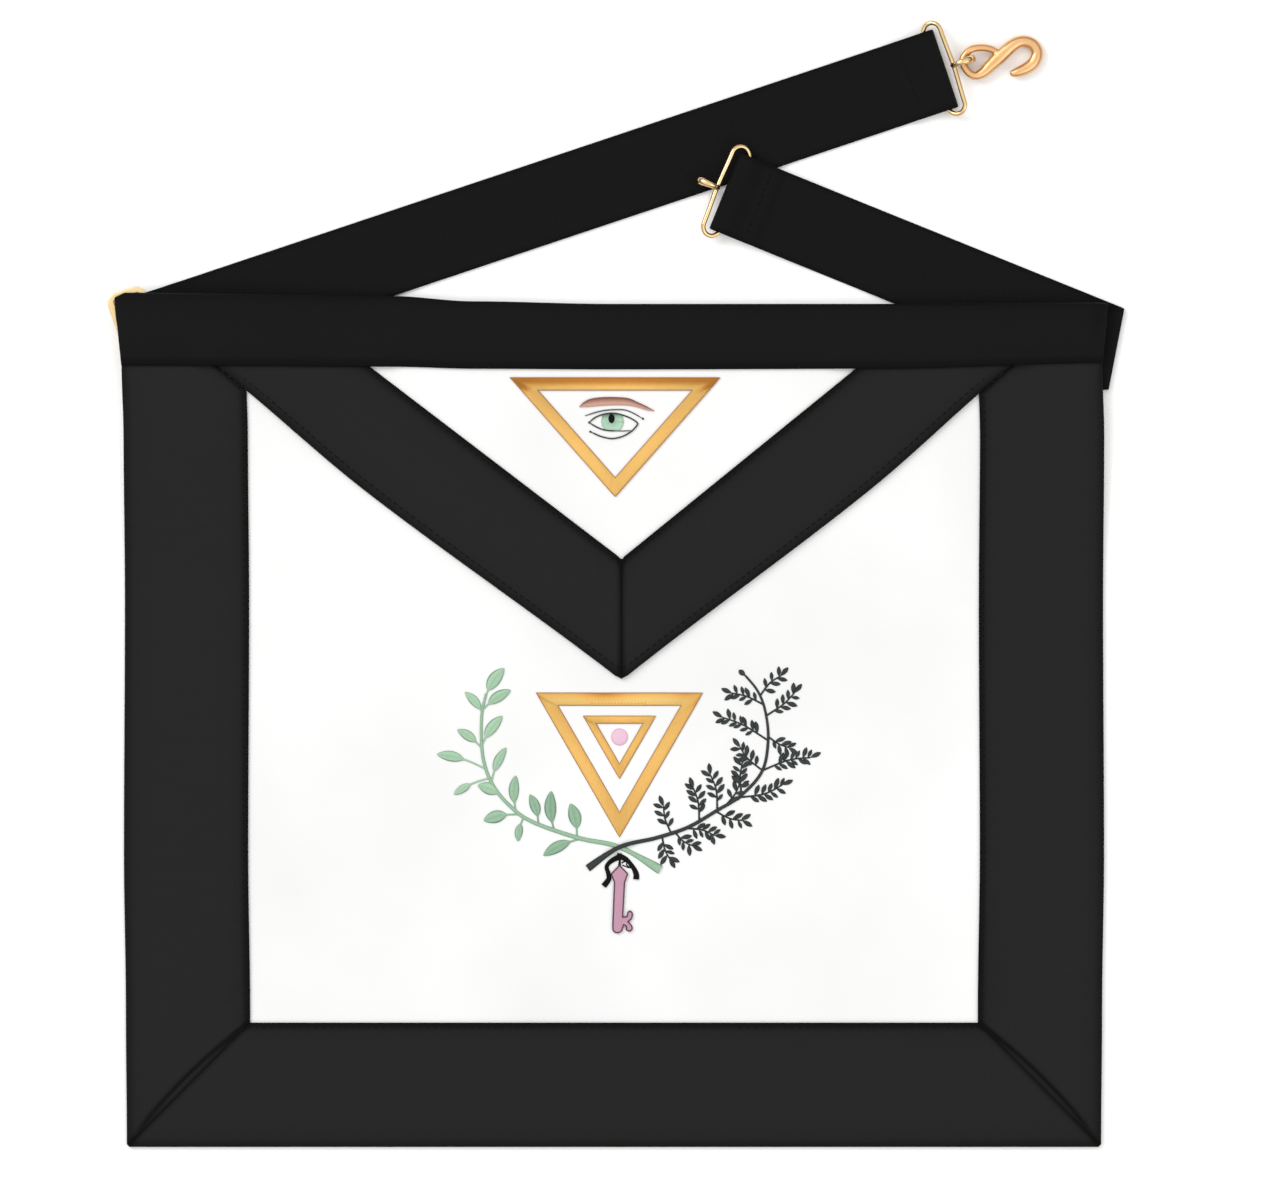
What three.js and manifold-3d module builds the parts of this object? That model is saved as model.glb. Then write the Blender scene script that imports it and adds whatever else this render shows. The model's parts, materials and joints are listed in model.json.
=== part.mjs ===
// Ribbon-bound apron with a triangular flap, embroidered emblems and a two-part webbing belt.
// It lies face up on a flat surface. Millimetres: +X right, +Y towards the belt, +Z up.
// The origin is the middle of the panel's back, on the surface.
import * as THREE from "three";
import { mergeVertices } from "three/addons/utils/BufferGeometryUtils.js";
import Module from "manifold-3d";

const wasm = await Module();
wasm.setup();

// Driving sizes of the cloth body
const BODY_WIDTH = 406.4;
const BODY_HEIGHT = 351;
const PANEL_THICKNESS = 1.2;
const RIBBON_THICKNESS = 1;
const BINDING_WIDTH = 51.7;
const WAISTBAND_HEIGHT = 27;
const GAP = 0.3;
const TUCK = 5;

// Driving sizes of the flap
const FLAP_WIDTH = 329.5;
const FLAP_DROP = 129.6;
const FLAP_THICKNESS = 1;
const FLAP_TIP_WIDTH = 1.6;
const FLAP_TIP_SHIFT = 3.1;
const FLAP_RIBBON_WIDTH = 39.3;

// Driving sizes of the belt
const WEBBING_WIDTH = 34;
const WEBBING_THICKNESS = 1.2;
const LEFT_BELT_LENGTH = 351;
const LEFT_BELT_ANGLE = 18.5;
const RIGHT_BELT_LENGTH = 172.4;
const RIGHT_BELT_ANGLE = 22;
const RIGHT_TAIL_LENGTH = 58;
const LOOP_RETURN = 12.5;
const BELT_RISE = 6;
const LOOP_RISE = 8;
const BELT_CLIMB = 26;
const FOLD_EASE = 24;
const SLIDER_INSET = 6.3;
const SLIDER_BELOW_TOP = 14.8;
const FOLD_OUTSET = 4.3;
const FOLD_BELOW_TOP = 19.1;

// Driving sizes of the metal
const SLIDER_LENGTH = 41.7;
const SLIDER_WIDTH = 16.5;
const SLIDER_THICKNESS = 1.6;
const SLIDER_BAR = 2.8;
const SLIDER_CORNER = 4.5;
const RING_LENGTH = 41.5;
const RING_WIDTH = 9.9;
const RING_WIRE = 2;
const EYE_HOLE = 7.2;
const EYE_BAND = 2;
const EYE_BREADTH = 2.6;
const HOOK_LENGTH = 35.3;
const HOOK_LIMB = 3.1;
const HOOK_DEPTH = 4.4;
const HOOK_SWIVEL_GAP = 0.4;

// Driving sizes of the embroidery
const STITCH_RELIEF = 0.8;
const UPPER_TRIANGLE_WIDTH = 87;
const UPPER_TRIANGLE_HEIGHT = 49.3;
const LOWER_TRIANGLE_WIDTH = 69;
const LOWER_TRIANGLE_HEIGHT = 59.8;
const TRIANGLE_BAR = 5.1;
const INNER_TRIANGLE_SIZE = 30;
const INNER_TRIANGLE_BAR = 3;
const INNER_DISC_RADIUS = 3.6;
const BROW_WIDTH = 31.5;
const IRIS_RADIUS = 4.6;
const PUPIL_RADIUS = 1.7;
const WREATH_REACH = 63;
const LAUREL_STEM = 2;
const LAUREL_LEAF = 15;
const LAUREL_LEAF_WIDTH = 5.2;
const OLIVE_STEM = 2;
const OLIVE_TWIG = 0.9;
const OLIVE_LEAF = 4;
const OLIVE_LEAF_WIDTH = 1.8;
const KEY_LENGTH = 28;
const TAIL_LENGTH = 14;
const TAIL_WIDTH = 1.7;

// Levels that follow from the thicknesses, counted from the surface or from the panel's back
const PLY = WEBBING_THICKNESS + GAP;
const SLIDER_STACK = 2 * PLY + SLIDER_THICKNESS + GAP;
const ON_PANEL = PANEL_THICKNESS + GAP;
const ON_RIBBON = ON_PANEL + RIBBON_THICKNESS + GAP;
const ON_FLAP = ON_PANEL + FLAP_THICKNESS + GAP;
const PANEL_INSET = RIBBON_THICKNESS + GAP;
const TOP = BODY_HEIGHT / 2;
const BOTTOM = -BODY_HEIGHT / 2;
const WAIST_BOTTOM = TOP - WAISTBAND_HEIGHT;

const FINISHES = {
  white_cloth: { color: 0xf6f5f2, roughness: 0.85, metalness: 0 },
  black_ribbon: { color: 0x1d1d1e, roughness: 0.7, metalness: 0 },
  black_webbing: { color: 0x141415, roughness: 0.8, metalness: 0 },
  gilt_metal: { color: 0xd9b26a, roughness: 0.3, metalness: 1 },
  gold_thread: { color: 0xf2b65c, roughness: 0.5, metalness: 0 },
  green_thread: { color: 0xa8c9ab, roughness: 0.55, metalness: 0 },
  olive_thread: { color: 0x434a4a, roughness: 0.6, metalness: 0 },
  pink_thread: { color: 0xd3a3b8, roughness: 0.55, metalness: 0 },
  brown_thread: { color: 0xb5765a, roughness: 0.55, metalness: 0 },
  black_thread: { color: 0x161616, roughness: 0.6, metalness: 0 },
};

// Outward wander of the body's side edges, as shares of its width, by height from the bottom
const EDGE_WANDER = [
  { up: 0, left: -0.002, right: -0.002 },
  { up: 0.16, left: -0.001, right: -0.001 },
  { up: 0.35, left: 0.001, right: 0.001 },
  { up: 0.64, left: 0, right: 0 },
  { up: 0.84, left: 0.001, right: 0.001 },
  { up: 0.93, left: 0.003, right: -0.001 },
  { up: 1, left: 0.01, right: 0.005 },
];

// Rise of the waistband's two edges, as shares of its height, by place across the body
const WAIST_WANDER = [
  { across: 0, top: 0.14, bottom: 0.02 },
  { across: 0.28, top: 0.09, bottom: 0 },
  { across: 0.36, top: 0.01, bottom: -0.03 },
  { across: 0.5, top: -0.03, bottom: -0.04 },
  { across: 0.78, top: -0.03, bottom: -0.03 },
  { across: 1, top: -0.01, bottom: 0.06 },
];

// Height that the belt and its slider hold the cloth up to, by place across the body
const LIFTS = [
  { across: 0, lift: SLIDER_STACK },
  { across: 0.085, lift: SLIDER_STACK },
  { across: 0.25, lift: PLY },
  { across: 0.35, lift: PLY },
  { across: 0.45, lift: PLY * 0.6 },
  { across: 0.62, lift: PLY * 0.6 },
  { across: 0.74, lift: PLY },
  { across: 0.855, lift: 2 * PLY },
  { across: 1, lift: 2 * PLY },
];
const LIFT_HOLD = 12;
const LIFT_FALL = 80;

const smooth = (t) => {
  const s = Math.min(1, Math.max(0, t));
  return s * s * (3 - 2 * s);
};

const lerp = (a, b, t) => a + (b - a) * t;

const lerpPoint = (a, b, t) => [lerp(a[0], b[0], t), lerp(a[1], b[1], t)];

// Value of a column of a table at a place, eased between its rows
function lookUp(table, key, column, at) {
  const last = table.length - 1;
  if (at <= table[0][key]) return table[0][column];
  if (at >= table[last][key]) return table[last][column];
  const next = table.findIndex((row) => row[key] > at);
  const low = table[next - 1];
  const high = table[next];
  return lerp(low[column], high[column], smooth((at - low[key]) / (high[key] - low[key])));
}

// Height of the panel's back above the surface
function rest(x, y) {
  const held = lookUp(LIFTS, "across", "lift", x / BODY_WIDTH + 0.5);
  return held * smooth((y - (WAIST_BOTTOM - LIFT_HOLD - LIFT_FALL)) / LIFT_FALL);
}

function sideX(side, y) {
  const up = (y - BOTTOM) / BODY_HEIGHT;
  const wander = lookUp(EDGE_WANDER, "up", side, up) * BODY_WIDTH;
  return side === "left" ? -BODY_WIDTH / 2 - wander : BODY_WIDTH / 2 + wander;
}

function waistY(edge, x) {
  const across = x / BODY_WIDTH + 0.5;
  const level = edge === "top" ? TOP : WAIST_BOTTOM;
  return level + lookUp(WAIST_WANDER, "across", edge, across) * WAISTBAND_HEIGHT;
}

// Closed mesh through a row of sections with equal point counts, capped or joined end to end
function loft(sections, caps, closed = false) {
  const count = sections[0].length;
  const positions = sections.flat(2);
  const index = [];
  const spans = closed ? sections.length : sections.length - 1;
  for (let i = 0; i < spans; i += 1) {
    const from = i * count;
    const to = ((i + 1) % sections.length) * count;
    for (let j = 0; j < count; j += 1) {
      const k = (j + 1) % count;
      index.push(from + j, to + j, to + k, from + j, to + k, from + k);
    }
  }
  if (!closed) {
    const end = (sections.length - 1) * count;
    for (const [a, b, c] of caps) {
      index.push(a, b, c, end + a, end + c, end + b);
    }
  }
  return outward(positions, index);
}

function outward(positions, index) {
  let volume = 0;
  const corner = (i) => new THREE.Vector3(...positions.slice(3 * i, 3 * i + 3));
  for (let i = 0; i < index.length; i += 3) {
    const [a, b, c] = [corner(index[i]), corner(index[i + 1]), corner(index[i + 2])];
    volume += a.dot(b.cross(c));
  }
  if (volume < 0) {
    for (let i = 0; i < index.length; i += 3) {
      [index[i + 1], index[i + 2]] = [index[i + 2], index[i + 1]];
    }
  }
  const geometry = new THREE.BufferGeometry();
  geometry.setAttribute("position", new THREE.Float32BufferAttribute(positions, 3));
  geometry.setIndex(index);
  geometry.computeVertexNormals();
  return geometry;
}

function capOf(outline) {
  const contour = outline.map(([x, y]) => new THREE.Vector2(x, y));
  return THREE.ShapeUtils.triangulateShape(contour, []);
}

// Cloth or ribbon between two plan edges. Each station is a pair of plan points, outer and inner.
// A lip turns down over the edge of the layer below, to the level of the panel's back.
function sheet({ stations, level, thickness, columns, lip = 0, closed = false, hump = () => 0 }) {
  const shares = Array.from({ length: columns + 1 }, (_, i) => i / columns);
  const section = ([outer, inner]) => {
    const width = Math.hypot(inner[0] - outer[0], inner[1] - outer[1]);
    const place = (share, height) => {
      const [x, y] = lerpPoint(outer, inner, share);
      return [x, y, rest(x, y) + height + hump(x, y)];
    };
    const start = lip / width;
    const under = shares.map((share) => place(lerp(start, 1, share), level));
    const over = shares.map((share) => place(1 - share, level + thickness));
    return lip > 0 ? [place(0, 0), place(start, 0), ...under, ...over] : [...under, ...over];
  };
  const flatUnder = shares.map((share) => [lerp(lip, 100, share), 10]);
  const flatOver = shares.map((share) => [100 * (1 - share), 20]);
  const flat = lip > 0 ? [[0, 0], [lip, 0], ...flatUnder, ...flatOver] : [...flatUnder, ...flatOver];
  return loft(stations.map(section), capOf(flat), closed);
}

// Tube along points in one plane, oval in section, with the plane's normal as its up direction
function tube({ points, up, breadth, depth, sides, closed = false }) {
  const sections = points.map((point, i) => {
    const before = points[closed ? (i + points.length - 1) % points.length : Math.max(0, i - 1)];
    const after = points[closed ? (i + 1) % points.length : Math.min(points.length - 1, i + 1)];
    const along = after.clone().sub(before).normalize();
    const across = new THREE.Vector3().crossVectors(up, along).normalize();
    return Array.from({ length: sides }, (_, j) => {
      const angle = (2 * Math.PI * (j + 0.5)) / sides;
      return point
        .clone()
        .addScaledVector(across, (breadth(i) / 2) * Math.cos(angle))
        .addScaledVector(up, (depth(i) / 2) * Math.sin(angle))
        .toArray();
    });
  });
  const fan = Array.from({ length: sides - 2 }, (_, i) => [0, i + 1, i + 2]);
  return loft(sections, fan, closed);
}

function toSolid(geometry) {
  const bare = geometry.clone();
  bare.deleteAttribute("normal");
  bare.deleteAttribute("uv");
  const merged = mergeVertices(bare, 1e-4);
  const vertProperties = new Float32Array(merged.attributes.position.array);
  const triVerts = new Uint32Array(merged.index.array);
  return new wasm.Manifold(new wasm.Mesh({ numProp: 3, vertProperties, triVerts }));
}

function toGeometry(solid) {
  const mesh = solid.getMesh();
  const geometry = new THREE.BufferGeometry();
  geometry.setAttribute("position", new THREE.Float32BufferAttribute([...mesh.vertProperties], 3));
  geometry.setIndex([...mesh.triVerts]);
  geometry.computeVertexNormals();
  return geometry;
}

function fuse(geometries) {
  return toGeometry(geometries.map(toSolid).reduce((a, b) => a.add(b)));
}

function extrude(shape, bottom, height, curveSegments = 4) {
  const geometry = new THREE.ExtrudeGeometry(shape, { depth: height, bevelEnabled: false, curveSegments });
  return geometry.translate(0, 0, bottom);
}

function piece(name, geometry, finish) {
  const mesh = new THREE.Mesh(geometry, new THREE.MeshStandardMaterial(FINISHES[finish]));
  mesh.name = name;
  return mesh;
}

const range = (count) => Array.from({ length: count + 1 }, (_, i) => i / count);

// Heights of the body's rows of facets: long rows where it lies flat, short ones where it rises
const FLAT_ROWS = EDGE_WANDER.slice(1, 4).map(({ up }) => BOTTOM + up * BODY_HEIGHT);
const ROW = 14;

function risingRows(low, high) {
  const start = Math.max(low, WAIST_BOTTOM - LIFT_HOLD - LIFT_FALL);
  return range(Math.max(1, Math.ceil((high - start) / ROW))).map((t) => lerp(start, high, t));
}

function bodyRows() {
  const rising = risingRows(BOTTOM, TOP - PANEL_INSET - RIBBON_THICKNESS);
  return [...FLAT_ROWS.filter((y) => y < rising[0] - 1), ...rising];
}

function apronPanel() {
  const rows = [BOTTOM + PANEL_INSET, ...bodyRows()];
  const stations = rows.map((y) => [
    [sideX("left", y) + PANEL_INSET, y],
    [sideX("right", y) - PANEL_INSET, y],
  ]);
  return sheet({ stations, level: 0, thickness: PANEL_THICKNESS, columns: 28 });
}

// Left plan edge of the flap at a share of its drop, with its slight belly
const FLAP_BELLY = [
  { down: 0, out: 0 },
  { down: 0.4, out: 0.03 },
  { down: 1, out: 0 },
];

function flapEdge(side, down) {
  const sign = side === "left" ? -1 : 1;
  const tip = FLAP_TIP_SHIFT + (sign * FLAP_TIP_WIDTH) / 2;
  const belly = lookUp(FLAP_BELLY, "down", "out", down) * (FLAP_WIDTH / 2);
  const x = lerp((sign * FLAP_WIDTH) / 2, tip, down) + sign * belly;
  return [x, WAIST_BOTTOM - down * FLAP_DROP];
}

// Inner edge of the side bindings, which makes room beside the flap's corner
function bindingInner(side, y) {
  const sign = side === "left" ? 1 : -1;
  const inner = sideX(side, y) + sign * BINDING_WIDTH;
  const down = Math.min(1, Math.max(-TUCK / FLAP_DROP, (WAIST_BOTTOM - y) / FLAP_DROP));
  const flap = flapEdge(side, Math.max(0, down))[0] - sign * (2 * GAP + Math.max(0, -down) * FLAP_WIDTH);
  return side === "left" ? Math.min(inner, flap) : Math.max(inner, flap);
}

function sideBinding(side) {
  const mitre = [
    [sideX(side, BOTTOM), BOTTOM],
    [bindingInner(side, BOTTOM + BINDING_WIDTH), BOTTOM + BINDING_WIDTH],
  ];
  const stations = bodyRows().map((y) => [
    [sideX(side, y), y],
    [bindingInner(side, y), y],
  ]);
  return sheet({
    stations: [mitre, ...stations],
    level: ON_PANEL,
    thickness: RIBBON_THICKNESS,
    columns: 4,
    lip: RIBBON_THICKNESS,
  });
}

function bottomBinding() {
  const shift = GAP * 1.5;
  const left = sideX("left", BOTTOM);
  const right = sideX("right", BOTTOM);
  const innerLeft = bindingInner("left", BOTTOM + BINDING_WIDTH) + shift;
  const innerRight = bindingInner("right", BOTTOM + BINDING_WIDTH) - shift;
  const stations = range(4).map((t) => [
    [lerp(left + shift, right - shift, t), BOTTOM],
    [lerp(innerLeft, innerRight, t), BOTTOM + BINDING_WIDTH],
  ]);
  return sheet({
    stations,
    level: ON_PANEL,
    thickness: RIBBON_THICKNESS,
    columns: 1,
    lip: RIBBON_THICKNESS,
  });
}

function waistband() {
  const stations = range(28).map((t) => {
    const x = lerp(-BODY_WIDTH / 2, BODY_WIDTH / 2, t);
    const top = waistY("top", x);
    const bottom = waistY("bottom", x);
    const pull = (y) => {
      const low = sideX("left", y);
      const high = sideX("right", y);
      return lerp(low, high, t);
    };
    return [
      [pull(top), top],
      [pull(bottom), bottom],
    ];
  });
  return sheet({
    stations,
    level: ON_RIBBON,
    thickness: RIBBON_THICKNESS,
    columns: 2,
    lip: RIBBON_THICKNESS,
  });
}

function flap() {
  const tucked = [
    [flapEdge("left", 0)[0], WAIST_BOTTOM + TUCK],
    [flapEdge("right", 0)[0], WAIST_BOTTOM + TUCK],
  ];
  const rows = range(10).map((t) => [flapEdge("left", t), flapEdge("right", t)]);
  return sheet({ stations: [tucked, ...rows], level: ON_PANEL, thickness: FLAP_THICKNESS, columns: 28 });
}

// The flap's ribbons lie on it, meet at the upright seam and stop at the waistband's lower edge
function flapBinding(side) {
  const sign = side === "left" ? -1 : 1;
  const slope = Math.atan2(FLAP_DROP, FLAP_WIDTH / 2);
  const acrossWidth = FLAP_RIBBON_WIDTH / Math.sin(slope);
  const downWidth = FLAP_RIBBON_WIDTH / Math.cos(slope);
  const seam = FLAP_TIP_SHIFT + (sign * GAP) / 2;
  const topOuter = flapEdge(side, 0);
  const topInner = [topOuter[0] - sign * acrossWidth, WAIST_BOTTOM];
  const apex = [seam, WAIST_BOTTOM - FLAP_DROP + downWidth];
  const stations = range(16).map((t) => {
    const outer = flapEdge(side, t);
    return [t === 1 ? [seam, outer[1]] : outer, lerpPoint(topInner, apex, t)];
  });
  const clear = (point) => [point[0], Math.min(point[1], waistY("bottom", point[0]) - GAP)];
  return sheet({
    stations: stations.map((station) => station.map(clear)),
    level: ON_FLAP,
    thickness: RIBBON_THICKNESS,
    columns: 3,
  });
}

// Side view of a belt's end, folded round a bar and back under itself, as points of along and up.
// The way runs from the belt to the fold and back to the end of the lower ply.
function loopProfile({ bar, barHalf, barUp, lean, back }) {
  const lie = WEBBING_THICKNESS / 2;
  const radius = barUp - lie;
  const backEnd = bar - back;
  const rise = (from, to, low, high) =>
    range(6).map((t) => [lerp(from, to, t), lerp(low, high, smooth(t))]);
  const turn = range(8).map((t) => {
    const angle = Math.PI / 2 - Math.PI * t;
    return [bar - barHalf + radius * Math.cos(angle), barUp + radius * Math.sin(angle)];
  });
  return [
    ...rise(backEnd - BELT_RISE, backEnd - GAP, lie, lie + PLY),
    ...rise(bar - lean - LOOP_RISE, bar - lean, lie + PLY, barUp + radius),
    ...turn,
    [backEnd, lie],
  ];
}

// Belt as a strip of webbing: a side view carried across its width, placed by a plan function
function webbing(profile, base, place) {
  const half = WEBBING_WIDTH / 2;
  const sections = profile.map(([u, up], i) => {
    const before = profile[Math.max(0, i - 1)];
    const after = profile[Math.min(profile.length - 1, i + 1)];
    const run = Math.hypot(after[0] - before[0], after[1] - before[1]);
    const normal = [-(after[1] - before[1]) / run, (after[0] - before[0]) / run];
    const corner = (side, across) => {
      const out = (side * WEBBING_THICKNESS) / 2;
      return place(u + out * normal[0], across, base(u) + up + out * normal[1]);
    };
    return [corner(-1, -half), corner(-1, half), corner(1, half), corner(1, -half)];
  });
  return loft(sections, [[0, 1, 2], [0, 2, 3]]);
}

const radians = (degrees) => (degrees * Math.PI) / 180;

// Plan frame of a belt: its start point and the direction in which it runs
function planFrame([x, y], angle) {
  const along = [Math.cos(radians(angle)), Math.sin(radians(angle))];
  const across = [-along[1], along[0]];
  return (u, v, z) => [x + u * along[0] + v * across[0], y + u * along[1] + v * across[1], z];
}

const RING_BAR_UP = PLY + RING_WIRE / 2;
const RING_FOLD = RING_WIRE / 2 + GAP + WEBBING_THICKNESS;
const SLIDER_UP = PLY + SLIDER_THICKNESS / 2;
const SLIDER_AT = [-BODY_WIDTH / 2 + SLIDER_INSET, TOP - SLIDER_BELOW_TOP];
const FOLD_AT = [BODY_WIDTH / 2 + FOLD_OUTSET, TOP - FOLD_BELOW_TOP];
const RIGHT_RUN = 180 - RIGHT_BELT_ANGLE;
const leftFrame = planFrame(SLIDER_AT, LEFT_BELT_ANGLE);
const rightFrame = planFrame(FOLD_AT, RIGHT_RUN);

function ringLoop(length) {
  return loopProfile({
    bar: length - RING_FOLD,
    barHalf: 0,
    barUp: RING_BAR_UP,
    lean: RING_WIRE / 2,
    back: LOOP_RETURN,
  });
}

function leftBelt() {
  const sliderLoop = loopProfile({
    bar: SLIDER_BAR / 2,
    barHalf: GAP * 1.5,
    barUp: SLIDER_UP,
    lean: SLIDER_WIDTH / 2 + SLIDER_BAR / 2 + GAP,
    back: SLIDER_WIDTH / 2 + LOOP_RETURN,
  });
  const mirrored = sliderLoop.map(([u, up]) => [-u, up]).reverse();
  return webbing([...mirrored, ...ringLoop(LEFT_BELT_LENGTH)], () => 0, leftFrame);
}

// Distance beyond a fold line and height, once the cloth is turned over the line and back
function foldOver(beyond, radius, up) {
  const middle = WEBBING_THICKNESS / 2;
  const centre = middle + radius;
  const reach = centre - up;
  if (beyond <= 0) return [beyond, up];
  if (beyond >= Math.PI * radius) return [Math.PI * radius - beyond, centre + reach];
  const angle = beyond / radius;
  return [reach * Math.sin(angle), centre - reach * Math.cos(angle)];
}

// The short belt is folded over obliquely beside the waistband, which turns its tail level,
// and climbs onto the long belt before its other end
function rightBelt() {
  const radius = PLY / 2;
  const tilt = radians(RIGHT_BELT_ANGLE / 2);
  const turn = (Math.PI * radius) / Math.cos(tilt);
  const lie = WEBBING_THICKNESS / 2;
  const climbStart = RIGHT_BELT_LENGTH - LOOP_RETURN - 1.5 * BELT_CLIMB;
  const flat = (from, to, steps) => range(steps).map((t) => [lerp(from, to, t), lie]);
  const profile = [
    [-turn - RIGHT_TAIL_LENGTH, lie],
    ...flat(-turn - FOLD_EASE, -turn, 4),
    ...flat(-turn, 0, 10).slice(1),
    ...flat(0, FOLD_EASE, 4).slice(1),
    ...flat(climbStart, climbStart + BELT_CLIMB, 6),
    ...ringLoop(RIGHT_BELT_LENGTH),
  ];
  const base = (u) => PLY * smooth((u - climbStart) / BELT_CLIMB);
  const place = (u, v, up) => {
    const away = Math.max(0, u, -turn - u);
    const along = u - Math.tan(tilt) * v * smooth(1 - away / FOLD_EASE);
    const aside = along * Math.sin(tilt) - v * Math.cos(tilt);
    const beyond = -along * Math.cos(tilt) - v * Math.sin(tilt);
    const [out, height] = foldOver(beyond, radius, up);
    const planAlong = -out * Math.cos(tilt) + aside * Math.sin(tilt);
    const planAcross = -out * Math.sin(tilt) - aside * Math.cos(tilt);
    return rightFrame(planAlong, planAcross, height);
  };
  return webbing(profile, base, place);
}

// Corner arcs of a rounded rectangle, joined by its straight sides
function roundedOutline(length, width, radius) {
  const corners = [
    [1, 1],
    [-1, 1],
    [-1, -1],
    [1, -1],
  ];
  return corners.flatMap(([sideX, sideY], i) =>
    range(4).map((t) => {
      const angle = (Math.PI / 2) * (i + t);
      const x = sideX * (width / 2 - radius) + radius * Math.cos(angle);
      const y = sideY * (length / 2 - radius) + radius * Math.sin(angle);
      return new THREE.Vector2(x, y);
    }),
  );
}

function beltSlider() {
  const slot = (SLIDER_WIDTH - 3 * SLIDER_BAR) / 2;
  const shape = new THREE.Shape(roundedOutline(SLIDER_LENGTH, SLIDER_WIDTH, SLIDER_CORNER));
  const plate = toSolid(extrude(shape, -SLIDER_THICKNESS / 2, SLIDER_THICKNESS));
  const cutter = (side) => {
    const box = new THREE.BoxGeometry(slot, SLIDER_LENGTH - 2 * SLIDER_BAR, 2 * SLIDER_THICKNESS);
    return toSolid(box.translate((side * (SLIDER_BAR + slot)) / 2, 0, 0));
  };
  const cut = plate.subtract(cutter(-1)).subtract(cutter(1));
  const mesh = piece("belt_slider", toGeometry(cut), "gilt_metal");
  mesh.position.set(...leftFrame(0, 0, SLIDER_UP));
  mesh.rotation.z = radians(LEFT_BELT_ANGLE);
  return mesh;
}

// The ring leans on its eye, which rests on the surface, or for the short belt on the long one
const EYE_RADIUS = EYE_HOLE / 2 + EYE_BAND;
const EYE_LINE = (EYE_HOLE + EYE_BAND) / 2;
const RING_SPAN = RING_WIDTH - RING_WIRE;
const RING_RISE = EYE_RADIUS - RING_BAR_UP;
const RING_REACH = Math.sqrt(RING_SPAN ** 2 - RING_RISE ** 2);

function ringGeometry() {
  const lean = Math.atan2(RING_RISE, RING_REACH);
  const straight = (RING_LENGTH - RING_WIRE - RING_SPAN) / 2;
  const bend = (side) =>
    range(6).map((t) => {
      const angle = side > 0 ? Math.PI * (1 - t) : -Math.PI * t;
      const out = (RING_SPAN / 2) * (1 + Math.cos(angle));
      const across = side * straight + (RING_SPAN / 2) * Math.sin(angle);
      return new THREE.Vector3(out * Math.cos(lean), across, out * Math.sin(lean));
    });
  const wire = tube({
    points: [...bend(1), ...bend(-1)],
    up: new THREE.Vector3(-Math.sin(lean), 0, Math.cos(lean)),
    breadth: () => RING_WIRE,
    depth: () => RING_WIRE,
    sides: 8,
    closed: true,
  });
  const eyePoints = range(18).slice(1).map((t) => {
    const angle = 2 * Math.PI * t;
    const out = RING_REACH + EYE_LINE + EYE_LINE * Math.cos(angle);
    return new THREE.Vector3(out, 0, RING_RISE + EYE_LINE * Math.sin(angle));
  });
  const eye = tube({
    points: eyePoints,
    up: new THREE.Vector3(0, 1, 0),
    breadth: () => EYE_BAND,
    depth: () => EYE_BREADTH,
    sides: 8,
    closed: true,
  });
  return fuse([wire, eye]);
}

function beltRing(name, frame, length, run, base) {
  const mesh = piece(name, ringGeometry(), "gilt_metal");
  mesh.position.set(...frame(length - RING_FOLD, 0, base + RING_BAR_UP));
  mesh.rotation.z = radians(run);
  return mesh;
}

// The hook's thin limb, from where it meets the body, through the ring's eye at 0, 0 and round
const HOOK_LIMB_WAY = [
  { along: 0.42, aside: 0.1 },
  { along: 0.34, aside: 0.15 },
  { along: 0.23, aside: 0.17 },
  { along: 0.11, aside: 0.155 },
  { along: 0.025, aside: 0.085 },
  { along: 0, aside: 0 },
  { along: 0.055, aside: -0.11 },
  { along: 0.15, aside: -0.16 },
  { along: 0.235, aside: -0.12 },
];

// The hook's body and open loop, with its two thicknesses as shares of its depth
const HOOK_BODY_WAY = [
  { along: 0.14, aside: -0.16, breadth: 0.6, depth: 0.6 },
  { along: 0.235, aside: -0.12, breadth: 0.85, depth: 0.85 },
  { along: 0.325, aside: -0.04, breadth: 1.15, depth: 1 },
  { along: 0.44, aside: 0.06, breadth: 1.3, depth: 1 },
  { along: 0.545, aside: 0.15, breadth: 1.2, depth: 1 },
  { along: 0.64, aside: 0.21, breadth: 1.12, depth: 1 },
  { along: 0.735, aside: 0.225, breadth: 1.1, depth: 1 },
  { along: 0.83, aside: 0.19, breadth: 1.12, depth: 1 },
  { along: 0.875, aside: 0.095, breadth: 1.12, depth: 1 },
  { along: 0.84, aside: -0.01, breadth: 1.15, depth: 1 },
  { along: 0.76, aside: -0.08, breadth: 1.15, depth: 1 },
  { along: 0.65, aside: -0.125, breadth: 1.1, depth: 0.95 },
  { along: 0.59, aside: -0.14, breadth: 0.6, depth: 0.5 },
];
const HOOK_FAR = 0.875;
const HOOK_TURN = -LEFT_BELT_ANGLE;
const HOOK_UP = EYE_RADIUS - EYE_HOLE / 2 + HOOK_SWIVEL_GAP + HOOK_LIMB / 2;

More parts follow.
